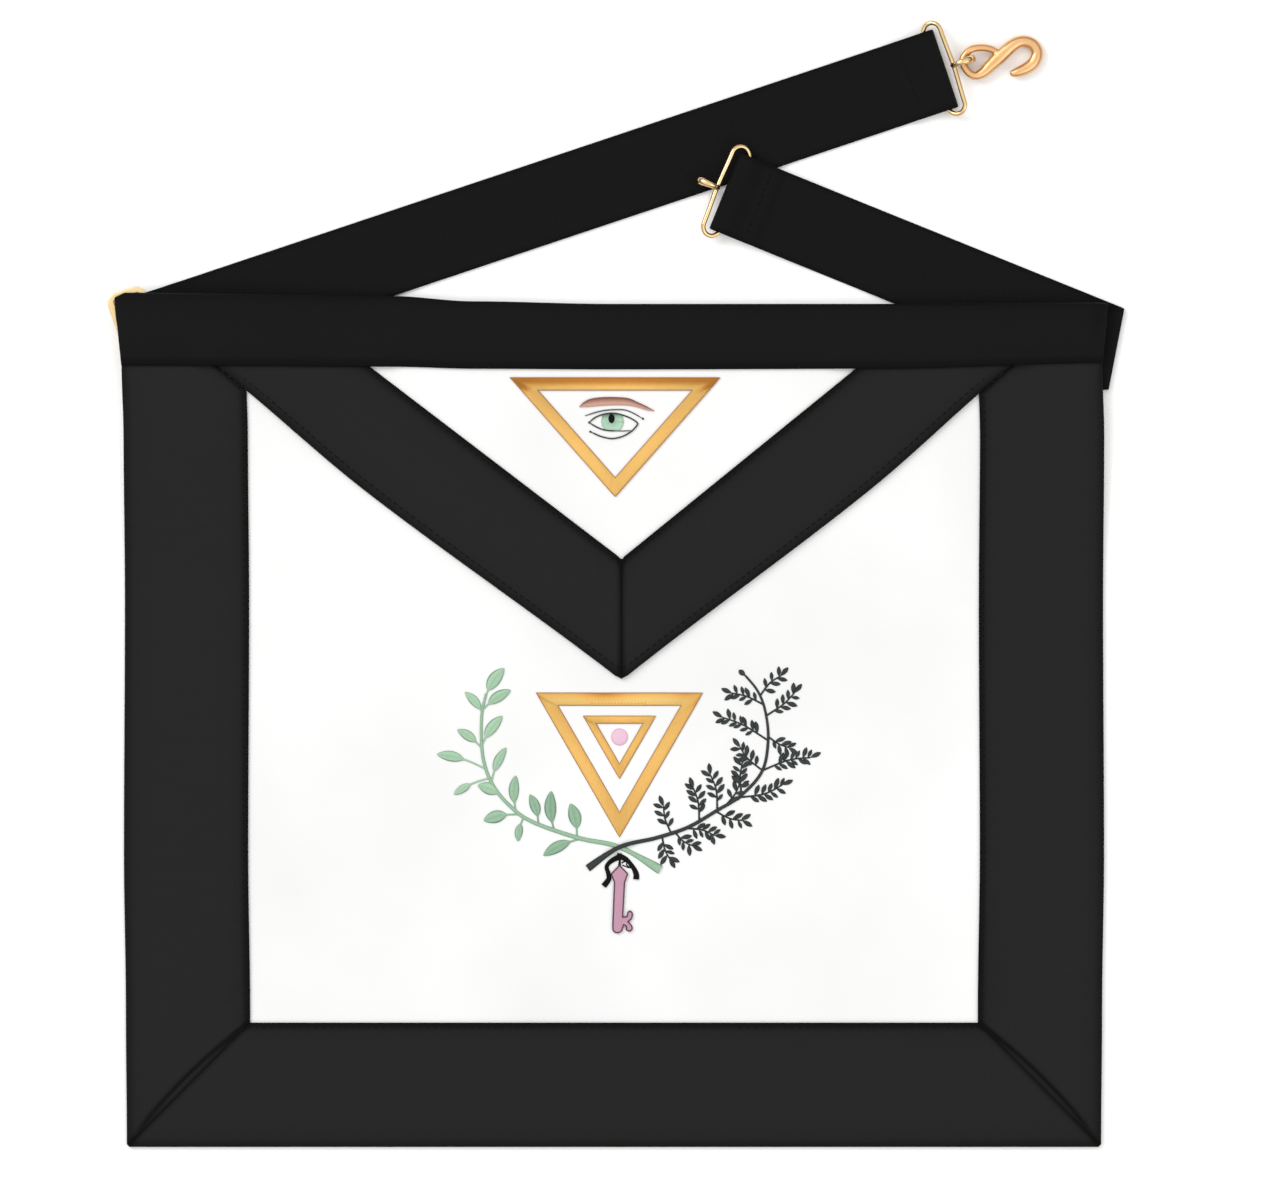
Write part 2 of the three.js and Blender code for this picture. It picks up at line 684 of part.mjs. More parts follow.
function snakeHook() {
  const fall = (HOOK_UP - HOOK_DEPTH / 2) / (HOOK_FAR * HOOK_LENGTH);
  const wayTube = (way, steps, size) => {
    const nodes = way.map(({ along, aside }) => {
      const x = along * HOOK_LENGTH;
      return new THREE.Vector3(x, aside * HOOK_LENGTH, -fall * x);
    });
    const curve = new THREE.CatmullRomCurve3(nodes);
    const at = (i, column) => {
      const place = (i / steps) * (way.length - 1);
      const low = Math.min(way.length - 2, Math.floor(place));
      return lerp(way[low][column], way[low + 1][column], place - low) * HOOK_DEPTH;
    };
    return tube({
      points: range(steps).map((t) => curve.getPoint(t)),
      up: new THREE.Vector3(0, 0, 1),
      breadth: (i) => size ?? at(i, "breadth"),
      depth: (i) => size ?? at(i, "depth"),
      sides: 8,
    });
  };
  const limb = wayTube(HOOK_LIMB_WAY, 16, HOOK_LIMB);
  const body = wayTube(HOOK_BODY_WAY, 26);
  const mesh = piece("snake_hook", fuse([limb, body]), "gilt_metal");
  const out = LEFT_BELT_LENGTH - RING_FOLD + RING_REACH + EYE_LINE;
  mesh.position.set(...leftFrame(out, 0, HOOK_UP));
  mesh.rotation.z = radians(LEFT_BELT_ANGLE + HOOK_TURN);
  return mesh;
}

// Even-width frame of a triangle that points down, from its middle top, in steps along each side
function triangleFrame({ x, y, width, height, bar, level, steps }) {
  const side = Math.hypot(width / 2, height);
  const inradius = (width * height) / (width + 2 * side);
  const corners = [
    [x - width / 2, y],
    [x + width / 2, y],
    [x, y - height],
  ];
  const centre = [x, y - inradius];
  const inner = corners.map((corner) => lerpPoint(centre, corner, 1 - bar / inradius));
  const stations = corners.flatMap((corner, i) => {
    const next = (i + 1) % 3;
    const shares = range(steps).slice(0, -1);
    return shares.map((t) => [lerpPoint(corner, corners[next], t), lerpPoint(inner[i], inner[next], t)]);
  });
  return sheet({ stations, level, thickness: STITCH_RELIEF, columns: 1, closed: true });
}

// Raises a flat shape's points by the cloth's own rise under them
function drape(geometry, x, y) {
  const position = geometry.attributes.position;
  for (let i = 0; i < position.count; i += 1) {
    const lift = rest(position.getX(i) + x, position.getY(i) + y);
    position.setZ(i, position.getZ(i) + lift);
  }
  return geometry.translate(x, y, 0);
}

function disc(radius, level, x, y) {
  const shape = new THREE.Shape();
  shape.absarc(0, 0, radius, 0, 2 * Math.PI);
  return drape(extrude(shape, level, STITCH_RELIEF, 16), x, y);
}

// Brow outline as shares of its width, from its outer end over the top and back below
const BROW_OUTLINE = [
  { along: -0.43, up: -0.04 },
  { along: -0.28, up: 0.09 },
  { along: 0, up: 0.11 },
  { along: 0.27, up: 0.08 },
  { along: 0.57, up: -0.08 },
  { along: 0.29, up: -0.02 },
  { along: 0.05, up: 0 },
  { along: -0.24, up: -0.02 },
];

function outlineShape(rows, size) {
  return new THREE.Shape(rows.map(({ along, up }) => new THREE.Vector2(along * size, up * size)));
}

function brow() {
  const shape = outlineShape(BROW_OUTLINE, BROW_WIDTH);
  return drape(extrude(shape, ON_FLAP, STITCH_RELIEF), EYE_X, EYE_Y + BROW_ABOVE_EYE);
}

// Stems as shares of the wreath's reach, from the cut end through the crossing at 0, 0 to the tip
const LAUREL_WAY = [
  { along: 0.27, up: -0.15 },
  { along: 0, up: 0 },
  { along: -0.27, up: 0.06 },
  { along: -0.56, up: 0.16 },
  { along: -0.7, up: 0.25 },
  { along: -0.83, up: 0.4 },
  { along: -0.9, up: 0.59 },
  { along: -0.91, up: 0.85 },
  { along: -0.88, up: 1.01 },
];
const OLIVE_WAY = [
  { along: -0.21, up: -0.14 },
  { along: 0, up: 0 },
  { along: 0.24, up: 0.06 },
  { along: 0.45, up: 0.13 },
  { along: 0.64, up: 0.24 },
  { along: 0.8, up: 0.34 },
  { along: 0.94, up: 0.5 },
  { along: 0.98, up: 0.71 },
  { along: 0.96, up: 0.9 },
  { along: 0.91, up: 1.03 },
  { along: 0.83, up: 1.13 },
];

// Laurel leaves: place along the stem, heading in degrees from +X, length as a share of a leaf
const LAUREL_LEAVES = [
  { at: 0.99, heading: 54, length: 0.72 },
  { at: 0.93, heading: 132, length: 0.75 },
  { at: 0.94, heading: 35, length: 0.97 },
  { at: 0.82, heading: 53, length: 0.92 },
  { at: 0.81, heading: 146, length: 0.83 },
  { at: 0.73, heading: 165, length: 1.4 },
  { at: 0.7, heading: 205, length: 1.1 },
  { at: 0.68, heading: 68, length: 1.05 },
  { at: 0.63, heading: 157, length: 0.65 },
  { at: 0.55, heading: 90, length: 1 },
  { at: 0.53, heading: 190, length: 1.05 },
  { at: 0.52, heading: 257, length: 0.7 },
  { at: 0.46, heading: 106, length: 0.9 },
  { at: 0.4, heading: 94, length: 1.1 },
  { at: 0.32, heading: 100, length: 1 },
  { at: 0.3, heading: 201, length: 1.15 },
];

// Olive twigs: place along the stem, heading in degrees from +X, length as a share of the reach
const OLIVE_TWIGS = [
  { at: 0.92, heading: 44, length: 0.21 },
  { at: 0.85, heading: 39, length: 0.27 },
  { at: 0.89, heading: 160, length: 0.25 },
  { at: 0.77, heading: 153, length: 0.38 },
  { at: 0.78, heading: -28, length: 0.17 },
  { at: 0.67, heading: 15, length: 0.37 },
  { at: 0.67, heading: 134, length: 0.24 },
  { at: 0.56, heading: 89, length: 0.23 },
  { at: 0.55, heading: 16, length: 0.34 },
  { at: 0.47, heading: 101, length: 0.27 },
  { at: 0.46, heading: -19, length: 0.21 },
  { at: 0.4, heading: 100, length: 0.25 },
  { at: 0.35, heading: -14, length: 0.22 },
  { at: 0.3, heading: 106, length: 0.21 },
  { at: 0.27, heading: -72, length: 0.17 },
];

const WREATH_AT = [2.3, -50.9];
const EYE_X = 0.5;
const EYE_Y = WAIST_BOTTOM - 22.8;
const BROW_ABOVE_EYE = 7;

function stemCurve(way, size = WREATH_REACH, [x, y] = WREATH_AT) {
  const nodes = way.map(({ along, up }) => new THREE.Vector3(x + along * size, y + up * size, 0));
  return new THREE.CatmullRomCurve3(nodes);
}

// Strip of thread along a curve, as wide at its two ends as given
function strand({ curve, steps, from, to, height, hump }) {
  const stations = range(steps).map((t) => {
    const point = curve.getPointAt(t);
    const along = curve.getTangentAt(t);
    const half = lerp(from, to, t) / 2;
    return [
      [point.x - along.y * half, point.y + along.x * half],
      [point.x + along.y * half, point.y - along.x * half],
    ];
  });
  return sheet({ stations, level: ON_PANEL, thickness: height, columns: 1, hump });
}

// Pointed leaf that starts inside its stem; its sides have as many straight pieces as given
function leaf({ x, y, heading, length, width, height, pieces }) {
  const shape = new THREE.Shape();
  shape.moveTo(0, 0);
  shape.quadraticCurveTo(length * 0.45, width, length, 0);
  shape.quadraticCurveTo(length * 0.45, -width, 0, 0);
  const geometry = extrude(shape, ON_PANEL + LEAF_SINK, height - LEAF_SINK, pieces);
  geometry.rotateZ(radians(heading));
  return geometry.translate(x, y, 0);
}
const LEAF_SINK = 0.03;

function laurelBranch() {
  const curve = stemCurve(LAUREL_WAY);
  const stem = strand({ curve, steps: 22, from: LAUREL_STEM * 1.4, to: LAUREL_STEM * 0.7, height: STITCH_RELIEF });
  const leaves = LAUREL_LEAVES.map(({ at, heading, length }) => {
    const { x, y } = curve.getPointAt(at);
    return leaf({
      x,
      y,
      heading,
      length: length * LAUREL_LEAF,
      width: LAUREL_LEAF_WIDTH,
      height: STITCH_RELIEF * 0.9,
      pieces: 3,
    });
  });
  return fuse([stem, ...leaves]);
}

// The olive stem passes over the laurel stem where they cross
function overCrossing(x, y) {
  const away = Math.hypot(x - WREATH_AT[0], y - WREATH_AT[1]);
  return (STITCH_RELIEF + GAP) * smooth((CROSSING_REACH - away) / (CROSSING_REACH / 2));
}
const CROSSING_REACH = 10;

function oliveTwig(start, heading, length) {
  const turned = (share, swing) => {
    const angle = radians(heading + swing);
    const out = length * share;
    return new THREE.Vector3(start.x + out * Math.cos(angle), start.y + out * Math.sin(angle), 0);
  };
  const curve = new THREE.CatmullRomCurve3([turned(0, 0), turned(0.5, 4), turned(0.9, 0)]);
  const twig = strand({ curve, steps: 3, from: OLIVE_TWIG, to: OLIVE_TWIG * 0.7, height: STITCH_RELIEF * 0.85 });
  const pairs = Math.max(2, Math.round(length / (OLIVE_LEAF * 1.15)) - 1);
  const size = { length: OLIVE_LEAF, width: OLIVE_LEAF_WIDTH, height: STITCH_RELIEF * 0.75, pieces: 2 };
  const leaves = range(pairs - 1).flatMap((t) => {
    const { x, y } = curve.getPointAt(lerp(0.32, 0.88, t));
    return [-1, 1].map((side) => leaf({ x, y, heading: heading + side * 42, ...size }));
  });
  const tip = turned(0.86, 0);
  return [twig, ...leaves, leaf({ x: tip.x, y: tip.y, heading, ...size })];
}

function oliveBranch() {
  const curve = stemCurve(OLIVE_WAY);
  const stem = strand({
    curve,
    steps: 44,
    from: OLIVE_STEM * 1.3,
    to: OLIVE_STEM * 0.6,
    height: STITCH_RELIEF,
    hump: overCrossing,
  });
  const twigs = OLIVE_TWIGS.flatMap(({ at, heading, length }) =>
    oliveTwig(curve.getPointAt(at), heading, length * WREATH_REACH),
  );
  return fuse([stem, ...twigs]);
}

// Ribbon tails below the crossing, as shares of their length from the knot
const TAIL_WAYS = [
  [
    { along: 0.03, up: 0 },
    { along: -0.23, up: -0.16 },
    { along: -0.37, up: -0.37 },
    { along: -0.31, up: -0.58 },
    { along: -0.46, up: -0.88 },
  ],
  [
    { along: -0.03, up: 0 },
    { along: 0.19, up: -0.1 },
    { along: 0.4, up: -0.34 },
    { along: 0.49, up: -0.64 },
  ],
];
const TAILS_BELOW_CROSSING = 4.2;

function ribbonTails() {
  const knot = [WREATH_AT[0], WREATH_AT[1] - TAILS_BELOW_CROSSING];
  const strands = TAIL_WAYS.map((way, i) =>
    strand({
      curve: stemCurve(way, TAIL_LENGTH, knot),
      steps: 8,
      from: TAIL_WIDTH,
      to: TAIL_WIDTH,
      height: STITCH_RELIEF * (1 - 0.06 * i),
    }),
  );
  return fuse(strands);
}

// Key outline as shares of its length, from the top of its bow round by the shaft and the bit
const KEY_OUTLINE = [
  { along: 0, up: 0 },
  { along: -0.125, up: -0.15 },
  { along: -0.055, up: -0.26 },
  { along: -0.055, up: -0.98 },
  { along: 0, up: -1 },
  { along: 0.055, up: -0.98 },
  { along: 0.055, up: -0.89 },
  { along: 0.11, up: -0.9 },
  { along: 0.12, up: -0.965 },
  { along: 0.18, up: -0.965 },
  { along: 0.19, up: -0.89 },
  { along: 0.13, up: -0.82 },
  { along: 0.19, up: -0.74 },
  { along: 0.17, up: -0.66 },
  { along: 0.13, up: -0.69 },
  { along: 0.11, up: -0.74 },
  { along: 0.055, up: -0.74 },
  { along: 0.055, up: -0.26 },
  { along: 0.125, up: -0.15 },
];
const KEY_BELOW_KNOT = 3.4;

function emblemKey() {
  const shape = outlineShape(KEY_OUTLINE, KEY_LENGTH);
  const y = WREATH_AT[1] - TAILS_BELOW_CROSSING - KEY_BELOW_KNOT;
  return drape(extrude(shape, ON_PANEL, STITCH_RELIEF), WREATH_AT[0], y);
}

function flapEmblems() {
  const frame = triangleFrame({
    x: EYE_X,
    y: WAIST_BOTTOM - UPPER_TRIANGLE_BELOW,
    width: UPPER_TRIANGLE_WIDTH,
    height: UPPER_TRIANGLE_HEIGHT,
    bar: TRIANGLE_BAR,
    level: ON_FLAP,
    steps: 6,
  });
  const onIris = ON_FLAP + STITCH_RELIEF + GAP;
  return [
    piece("upper_triangle", frame, "gold_thread"),
    piece("eye_brow", brow(), "brown_thread"),
    piece("eye_iris", disc(IRIS_RADIUS, ON_FLAP, EYE_X, EYE_Y), "green_thread"),
    piece("eye_pupil", disc(PUPIL_RADIUS, onIris, EYE_X, EYE_Y + PUPIL_RADIUS), "black_thread"),
  ];
}
const UPPER_TRIANGLE_BELOW = 4.5;

function panelEmblems() {
  const x = WREATH_AT[0];
  const top = WAIST_BOTTOM - FLAP_DROP - LOWER_TRIANGLE_BELOW;
  const level = ON_PANEL;
  const bar = TRIANGLE_BAR;
  const outer = { x, y: top, width: LOWER_TRIANGLE_WIDTH, height: LOWER_TRIANGLE_HEIGHT, bar, level, steps: 1 };
  const height = INNER_TRIANGLE_SIZE * Math.cos(radians(30));
  const innerTop = top - TRIANGLE_BAR - INNER_TRIANGLE_BELOW;
  const inner = { x, y: innerTop, width: INNER_TRIANGLE_SIZE, height, bar: INNER_TRIANGLE_BAR, level, steps: 1 };
  return [
    piece("lower_triangle", triangleFrame(outer), "gold_thread"),
    piece("inner_triangle", triangleFrame(inner), "gold_thread"),
    piece("inner_disc", disc(INNER_DISC_RADIUS, level, x, innerTop - height / 3), "pink_thread"),
    piece("laurel_branch", laurelBranch(), "green_thread"),
    piece("olive_branch", oliveBranch(), "olive_thread"),
    piece("ribbon_tails", ribbonTails(), "black_thread"),
    piece("emblem_key", emblemKey(), "pink_thread"),
  ];
}
const LOWER_TRIANGLE_BELOW = 5.8;
const INNER_TRIANGLE_BELOW = 4.5;

function clothPieces() {
  return [
    piece("apron_panel", apronPanel(), "white_cloth"),
    piece("binding_left", sideBinding("left"), "black_ribbon"),
    piece("binding_right", sideBinding("right"), "black_ribbon"),
    piece("binding_bottom", bottomBinding(), "black_ribbon"),
    piece("waistband", waistband(), "black_ribbon"),
    piece("flap", flap(), "white_cloth"),
    piece("flap_binding_left", flapBinding("left"), "black_ribbon"),
    piece("flap_binding_right", flapBinding("right"), "black_ribbon"),
  ];
}

function beltPieces() {
  return [
    piece("belt_left", leftBelt(), "black_webbing"),
    piece("belt_right", rightBelt(), "black_webbing"),
    beltSlider(),
    beltRing("clasp_ring", leftFrame, LEFT_BELT_LENGTH, LEFT_BELT_ANGLE, 0),
    beltRing("catch_ring", rightFrame, RIGHT_BELT_LENGTH, RIGHT_RUN, PLY),
    snakeHook(),
  ];
}

const apron = new THREE.Group();
apron.name = "apron";
apron.add(...clothPieces(), ...flapEmblems(), ...panelEmblems(), ...beltPieces());

export default apron;
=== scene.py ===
# %% [markdown]
# # A ribbon-bound apron, laid flat
#
# This lesson dresses the plain solids of a ceremonial apron: white cloth bound with wide black
# ribbon, a triangular flap, embroidered emblems, and a webbing belt with gilt rings and a snake hook.
# The solids give every size and place. We build each piece again as a fine mesh in the same frame,
# so nothing has to be fitted afterwards.

# %% Load the frame
import json
import math
import random

import bmesh
import bpy
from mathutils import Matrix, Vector, noise

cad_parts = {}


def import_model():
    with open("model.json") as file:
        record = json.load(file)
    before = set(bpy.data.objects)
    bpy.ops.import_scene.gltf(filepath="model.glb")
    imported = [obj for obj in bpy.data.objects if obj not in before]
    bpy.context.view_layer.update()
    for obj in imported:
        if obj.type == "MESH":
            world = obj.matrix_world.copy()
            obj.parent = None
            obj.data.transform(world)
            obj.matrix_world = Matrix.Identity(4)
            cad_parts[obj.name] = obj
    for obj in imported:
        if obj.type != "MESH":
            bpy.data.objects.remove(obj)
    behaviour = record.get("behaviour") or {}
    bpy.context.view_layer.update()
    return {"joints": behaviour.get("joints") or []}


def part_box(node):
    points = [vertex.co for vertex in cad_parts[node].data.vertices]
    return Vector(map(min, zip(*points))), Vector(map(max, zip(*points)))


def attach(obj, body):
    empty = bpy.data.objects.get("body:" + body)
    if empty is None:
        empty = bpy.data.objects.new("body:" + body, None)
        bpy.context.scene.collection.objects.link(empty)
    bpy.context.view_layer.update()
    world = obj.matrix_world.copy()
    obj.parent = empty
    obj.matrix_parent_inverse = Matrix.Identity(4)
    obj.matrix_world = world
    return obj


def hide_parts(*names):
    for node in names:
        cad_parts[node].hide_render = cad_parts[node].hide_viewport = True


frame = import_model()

# %% [markdown]
# ## Sizes
#
# A maker thinks in millimetres and Blender counts in metres, so we write millimetres and convert
# once, when a mesh is made. Whatever can be read from the solids is read from them: the line under
# the waistband, the flap's width and drop, the place of the belt's slider. The few sizes that no box
# gives, such as the thickness of a ribbon, are named here.

# %% Read the driving sizes
MM = 0.001


def corner_of(node, which, axis):
    """One coordinate, in millimetres, of a solid's lowest (0) or highest (1) corner."""
    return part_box(node)[which]["xyz".index(axis)] / MM


def box_of(node):
    """Lowest and highest corner of a solid, in millimetres."""
    return tuple(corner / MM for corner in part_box(node))


BODY_WIDTH = 406.4
BOTTOM = corner_of("binding_bottom", 0, "y")
TOP = -BOTTOM
BODY_HEIGHT = TOP - BOTTOM
BINDING_WIDTH = corner_of("binding_bottom", 1, "y") - BOTTOM
WAIST_LINE = corner_of("flap_binding_left", 1, "y")
WAIST_HEIGHT = TOP - WAIST_LINE
FLAP_WIDTH = corner_of("flap", 1, "x") - corner_of("flap", 0, "x")
FLAP_DROP = WAIST_LINE - corner_of("flap", 0, "y")
print(f"body {BODY_WIDTH:.1f} x {BODY_HEIGHT:.1f} mm, flap {FLAP_WIDTH:.1f} x {FLAP_DROP:.1f} mm")

# %% Name the thicknesses and the levels that follow from them
PANEL_THICK = 1.2
FLAP_THICK = 1.0
RIBBON_THICK = 1.0
WEB_THICK = 1.2
CLEAR = 0.3
PLY = WEB_THICK + CLEAR
ON_PANEL = PANEL_THICK + CLEAR
ON_RIBBON = ON_PANEL + RIBBON_THICK + CLEAR
ON_FLAP = ON_PANEL + FLAP_THICK + CLEAR
EDGE_INSET = RIBBON_THICK + CLEAR
print("levels above the cloth's back:", ON_PANEL, ON_FLAP, ON_RIBBON)

# %% [markdown]
# ## Camera
#
# The photograph looks straight down, so its scale is the same everywhere and one number ties its
# pixels to millimetres. We hang the camera over the middle of the picture and choose the lens whose
# field is exactly as wide as the picture. A long lens from high up keeps the perspective slight.

# %% Hang the camera over the picture's middle
PHOTO_WIDE = 1280
PHOTO_HIGH = 1188
PIXEL = 0.4155
PHOTO_ORIGIN = (614, 724.5)
CAMERA_HEIGHT = 5000
SENSOR = 36


def hang_camera():
    data = bpy.data.cameras.new("overhead_camera")
    data.sensor_width = SENSOR
    data.lens = SENSOR * CAMERA_HEIGHT / (PHOTO_WIDE * PIXEL)
    camera = bpy.data.objects.new("overhead_camera", data)
    middle_x = (PHOTO_WIDE / 2 - PHOTO_ORIGIN[0]) * PIXEL
    middle_y = (PHOTO_ORIGIN[1] - PHOTO_HIGH / 2) * PIXEL
    camera.location = Vector((middle_x, middle_y, CAMERA_HEIGHT)) * MM
    bpy.context.scene.collection.objects.link(camera)
    bpy.context.scene.camera = camera
    return camera


print("lens", round(hang_camera().data.lens, 1), "mm")

# %% [markdown]
# ## Small tools for shaping
#
# Everything soft here is a layer that lies on another one, so a handful of tools makes them all.
# A *pile* gathers points and faces. Each point also keeps where it is along and across the thread,
# which the weave in the materials needs, and a *tone*, which darkens or lightens the colour there.
# On the ribbons and webbing the tone is painted shade; on the embroidery it is the threads' own colour.

# %% Ease, mix and read tables
def smooth(t):
    s = min(1.0, max(0.0, t))
    return s * s * (3 - 2 * s)


def mix(a, b, t):
    return a + (b - a) * t


def mix_point(a, b, t):
    return tuple(mix(p, q, t) for p, q in zip(a, b))


def bump(distance, width):
    """1 at no distance, falling to nothing within about two widths."""
    return math.exp(-((distance / width) ** 2))


def read_table(rows, key, column, at):
    """A column's value between the table's rows, eased."""
    if at <= rows[0][key]:
        return rows[0][column]
    for low, high in zip(rows, rows[1:]):
        if at <= high[key]:
            return mix(low[column], high[column], smooth((at - low[key]) / (high[key] - low[key])))
    return rows[-1][column]


def shares(count):
    return [i / count for i in range(count + 1)]


print("half way up a smooth step:", smooth(0.5))

# %% Follow a curve through a few points
def spline(rows, count):
    """Rows of numbers on a smooth curve through the given rows."""
    found = []
    for share in shares(count):
        place = share * (len(rows) - 1)
        i = min(int(place), len(rows) - 2)
        t = place - i
        around = [rows[min(len(rows) - 1, max(0, i + k))] for k in (-1, 0, 1, 2)]
        point = []
        for a, b, c, d in zip(*around):
            bend = (2 * b, c - a, 2 * a - 5 * b + 4 * c - d, 3 * (b - c) + d - a)
            point.append(0.5 * (bend[0] + bend[1] * t + bend[2] * t**2 + bend[3] * t**3))
        found.append(tuple(point))
    return found


def even_run(points, count):
    """Points at even distances along a run of points."""
    far = [0.0]
    for a, b in zip(points, points[1:]):
        far.append(far[-1] + math.dist(a, b))
    found = []
    i = 0
    for share in shares(count):
        at = share * far[-1]
        while i < len(points) - 2 and far[i + 1] < at:
            i += 1
        span = max(far[i + 1] - far[i], 1e-9)
        found.append(mix_point(points[i], points[i + 1], (at - far[i]) / span))
    return found


print("middle of a bent line:", spline([(0, 0), (10, 4), (20, 0)], 2)[1])

# %% Gather points and faces in a pile
class Pile:
    """Points, faces, thread places and tones of one piece, while it is being made."""

    def __init__(self):
        self.points = []
        self.thread = []
        self.tones = []
        self.faces = []

    def add(self, x, y, z, along=0.0, across=0.0, tone=0.0):
        self.points.append((x, y, z))
        self.thread.append((along, across))
        self.tones.append(tone)
        return len(self.points) - 1

    def skin(self, rings, closed=False):
        """Joins rings of points into a tube; each end is closed by a strip between its two sides."""
        count = len(rings[0])
        spans = list(zip(rings, rings[1:]))
        if closed:
            spans.append((rings[-1], rings[0]))
        for near, far in spans:
            for j in range(count):
                k = (j + 1) % count
                self.faces.append((near[j], near[k], far[k], far[j]))
        if not closed:
            for ring in (rings[0], rings[-1]):
                for j in range(count // 2 - 1):
                    self.faces.append((ring[j], ring[j + 1], ring[count - 2 - j], ring[count - 1 - j]))


sample = Pile()
sample.skin([[sample.add(x, y, z) for x, y in ((0, 0), (1, 0), (1, 1), (0, 1))] for z in (0, 1)])
print("a cube from two square rings has", len(sample.faces), "faces")

# %% Turn a pile into a piece on one of the bodies
pieces = {}


def make_piece(name, pile, finish, body="apron", stands_for=()):
    mesh = bpy.data.meshes.new(name)
    mesh.from_pydata([tuple(v * MM for v in point) for point in pile.points], [], pile.faces)
    thread_map = mesh.uv_layers.new(name="thread")
    for loop in mesh.loops:
        thread_map.data[loop.index].uv = pile.thread[loop.vertex_index]
    tone = mesh.attributes.new("tone", "FLOAT", "POINT")
    tone.data.foreach_set("value", pile.tones)
    return place_piece(mesh, finish, body, stands_for)


def place_piece(mesh, finish, body, stands_for):
    """Faces outward, smooth but for the true corners, dressed, and riding on its body."""
    shell = bmesh.new()
    shell.from_mesh(mesh)
    bmesh.ops.recalc_face_normals(shell, faces=shell.faces)
    shell.to_mesh(mesh)
    shell.free()
    mesh.shade_smooth()
    mesh.set_sharp_from_angle(angle=math.radians(50))
    mesh.materials.append(finish)
    piece = bpy.data.objects.new(mesh.name, mesh)
    bpy.context.scene.collection.objects.link(piece)
    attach(piece, body)
    if stands_for:
        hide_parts(*stands_for)
    pieces[piece.name] = piece
    print(f"{piece.name}: {len(mesh.polygons)} faces")
    return piece


# %% [markdown]
# ## How the cloth lies
#
# The belt and its slider lie under the top of the apron, so the cloth climbs over them there and
# lies on the table below. One function gives the height of the cloth's back anywhere, and every
# layer, thread and stitch is counted up from it, so layers never cut into each other. A faint
# unevenness of a few tenths of a millimetre gives white cloth the soft greys that a table shot shows.

# %% Height of the cloth's back
LIFTS = [
    dict(across=0.0, lift=4.9),
    dict(across=0.085, lift=4.9),
    dict(across=0.25, lift=PLY),
    dict(across=0.35, lift=PLY),
    dict(across=0.45, lift=PLY * 0.6),
    dict(across=0.62, lift=PLY * 0.6),
    dict(across=0.74, lift=PLY),
    dict(across=0.855, lift=PLY * 2),
    dict(across=1.0, lift=PLY * 2),
]
LIFT_FALL = 80
LIFT_FOOT = WAIST_LINE - 12 - LIFT_FALL
WAVE_LENGTH = 75
WAVE_HEIGHT = 0.3
WAVE_MARGIN = 40


def unevenness(x, y):
    inside = smooth((BODY_WIDTH / 2 - abs(x)) / WAVE_MARGIN) * smooth((y - BOTTOM) / WAVE_MARGIN)
    wave = noise.noise(Vector((x / WAVE_LENGTH, y / WAVE_LENGTH, 0)))
    return WAVE_HEIGHT * (1 + wave) * inside


def lie_height(x, y):
    held = read_table(LIFTS, "across", "lift", x / BODY_WIDTH + 0.5)
    return held * smooth((y - LIFT_FOOT) / LIFT_FALL) + unevenness(x, y)


print("cloth's back over the slider:", round(lie_height(-190, 160), 2), "mm")

# %% Edges of the body, which wander a little as sewn edges do
EDGE_WANDER = [
    dict(up=0.0, left=-0.002, right=-0.002),
    dict(up=0.16, left=-0.001, right=-0.001),
    dict(up=0.35, left=0.001, right=0.001),
    dict(up=0.64, left=0.0, right=0.0),
    dict(up=0.84, left=0.001, right=0.001),
    dict(up=0.93, left=0.003, right=-0.001),
    dict(up=1.0, left=0.01, right=0.005),
]
WAIST_WANDER = [
    dict(across=0.0, top=0.14, bottom=0.02),
    dict(across=0.28, top=0.09, bottom=0.0),
    dict(across=0.36, top=0.01, bottom=-0.03),
    dict(across=0.5, top=-0.03, bottom=-0.04),
    dict(across=0.78, top=-0.03, bottom=-0.03),
    dict(across=1.0, top=-0.01, bottom=0.06),
]


def side_x(side, y):
    wander = read_table(EDGE_WANDER, "up", side, (y - BOTTOM) / BODY_HEIGHT) * BODY_WIDTH
    return -BODY_WIDTH / 2 - wander if side == "left" else BODY_WIDTH / 2 + wander


def waist_y(edge, x):
    level = TOP if edge == "top" else WAIST_LINE
    return level + read_table(WAIST_WANDER, "across", edge, x / BODY_WIDTH + 0.5) * WAIST_HEIGHT


print("width at the top:", round(side_x("right", TOP) - side_x("left", TOP), 1), "mm")

# %% Lay a section along pairs of plan points
def flat_relief(x, y, share):
    """No rise and no tone: cloth as it lies."""
    return 0.0, 0.0


def lay(pile, pairs, sections, relief=flat_relief, closed=False, thread=None):
    """Carries sections of (share, height) along pairs of plan points. Share 0 is a pair's first point.
    relief gives a further rise and a tone by place. thread is the width that the thread is counted in."""
    rings = []
    run = 0.0
    before = None
    for pair, section in zip(pairs, sections):
        middle = mix_point(pair[0], pair[1], 0.5)
        run += math.dist(before, middle) if before else 0.0
        before = middle
        width = thread or math.dist(pair[0], pair[1])
        ring = []
        for share, height in section:
            x, y = mix_point(pair[0], pair[1], share)
            rise, tone = relief(x, y, share)
            ring.append(pile.add(x, y, lie_height(x, y) + height + rise, run, share * width, tone))
        rings.append(ring)
    pile.skin(rings, closed)


print("rise and tone of cloth as it lies:", flat_relief(0, 0, 0.5))

# %% Both skins of a wall, with round rims
RIM_ANGLES = (15, 45, 75)


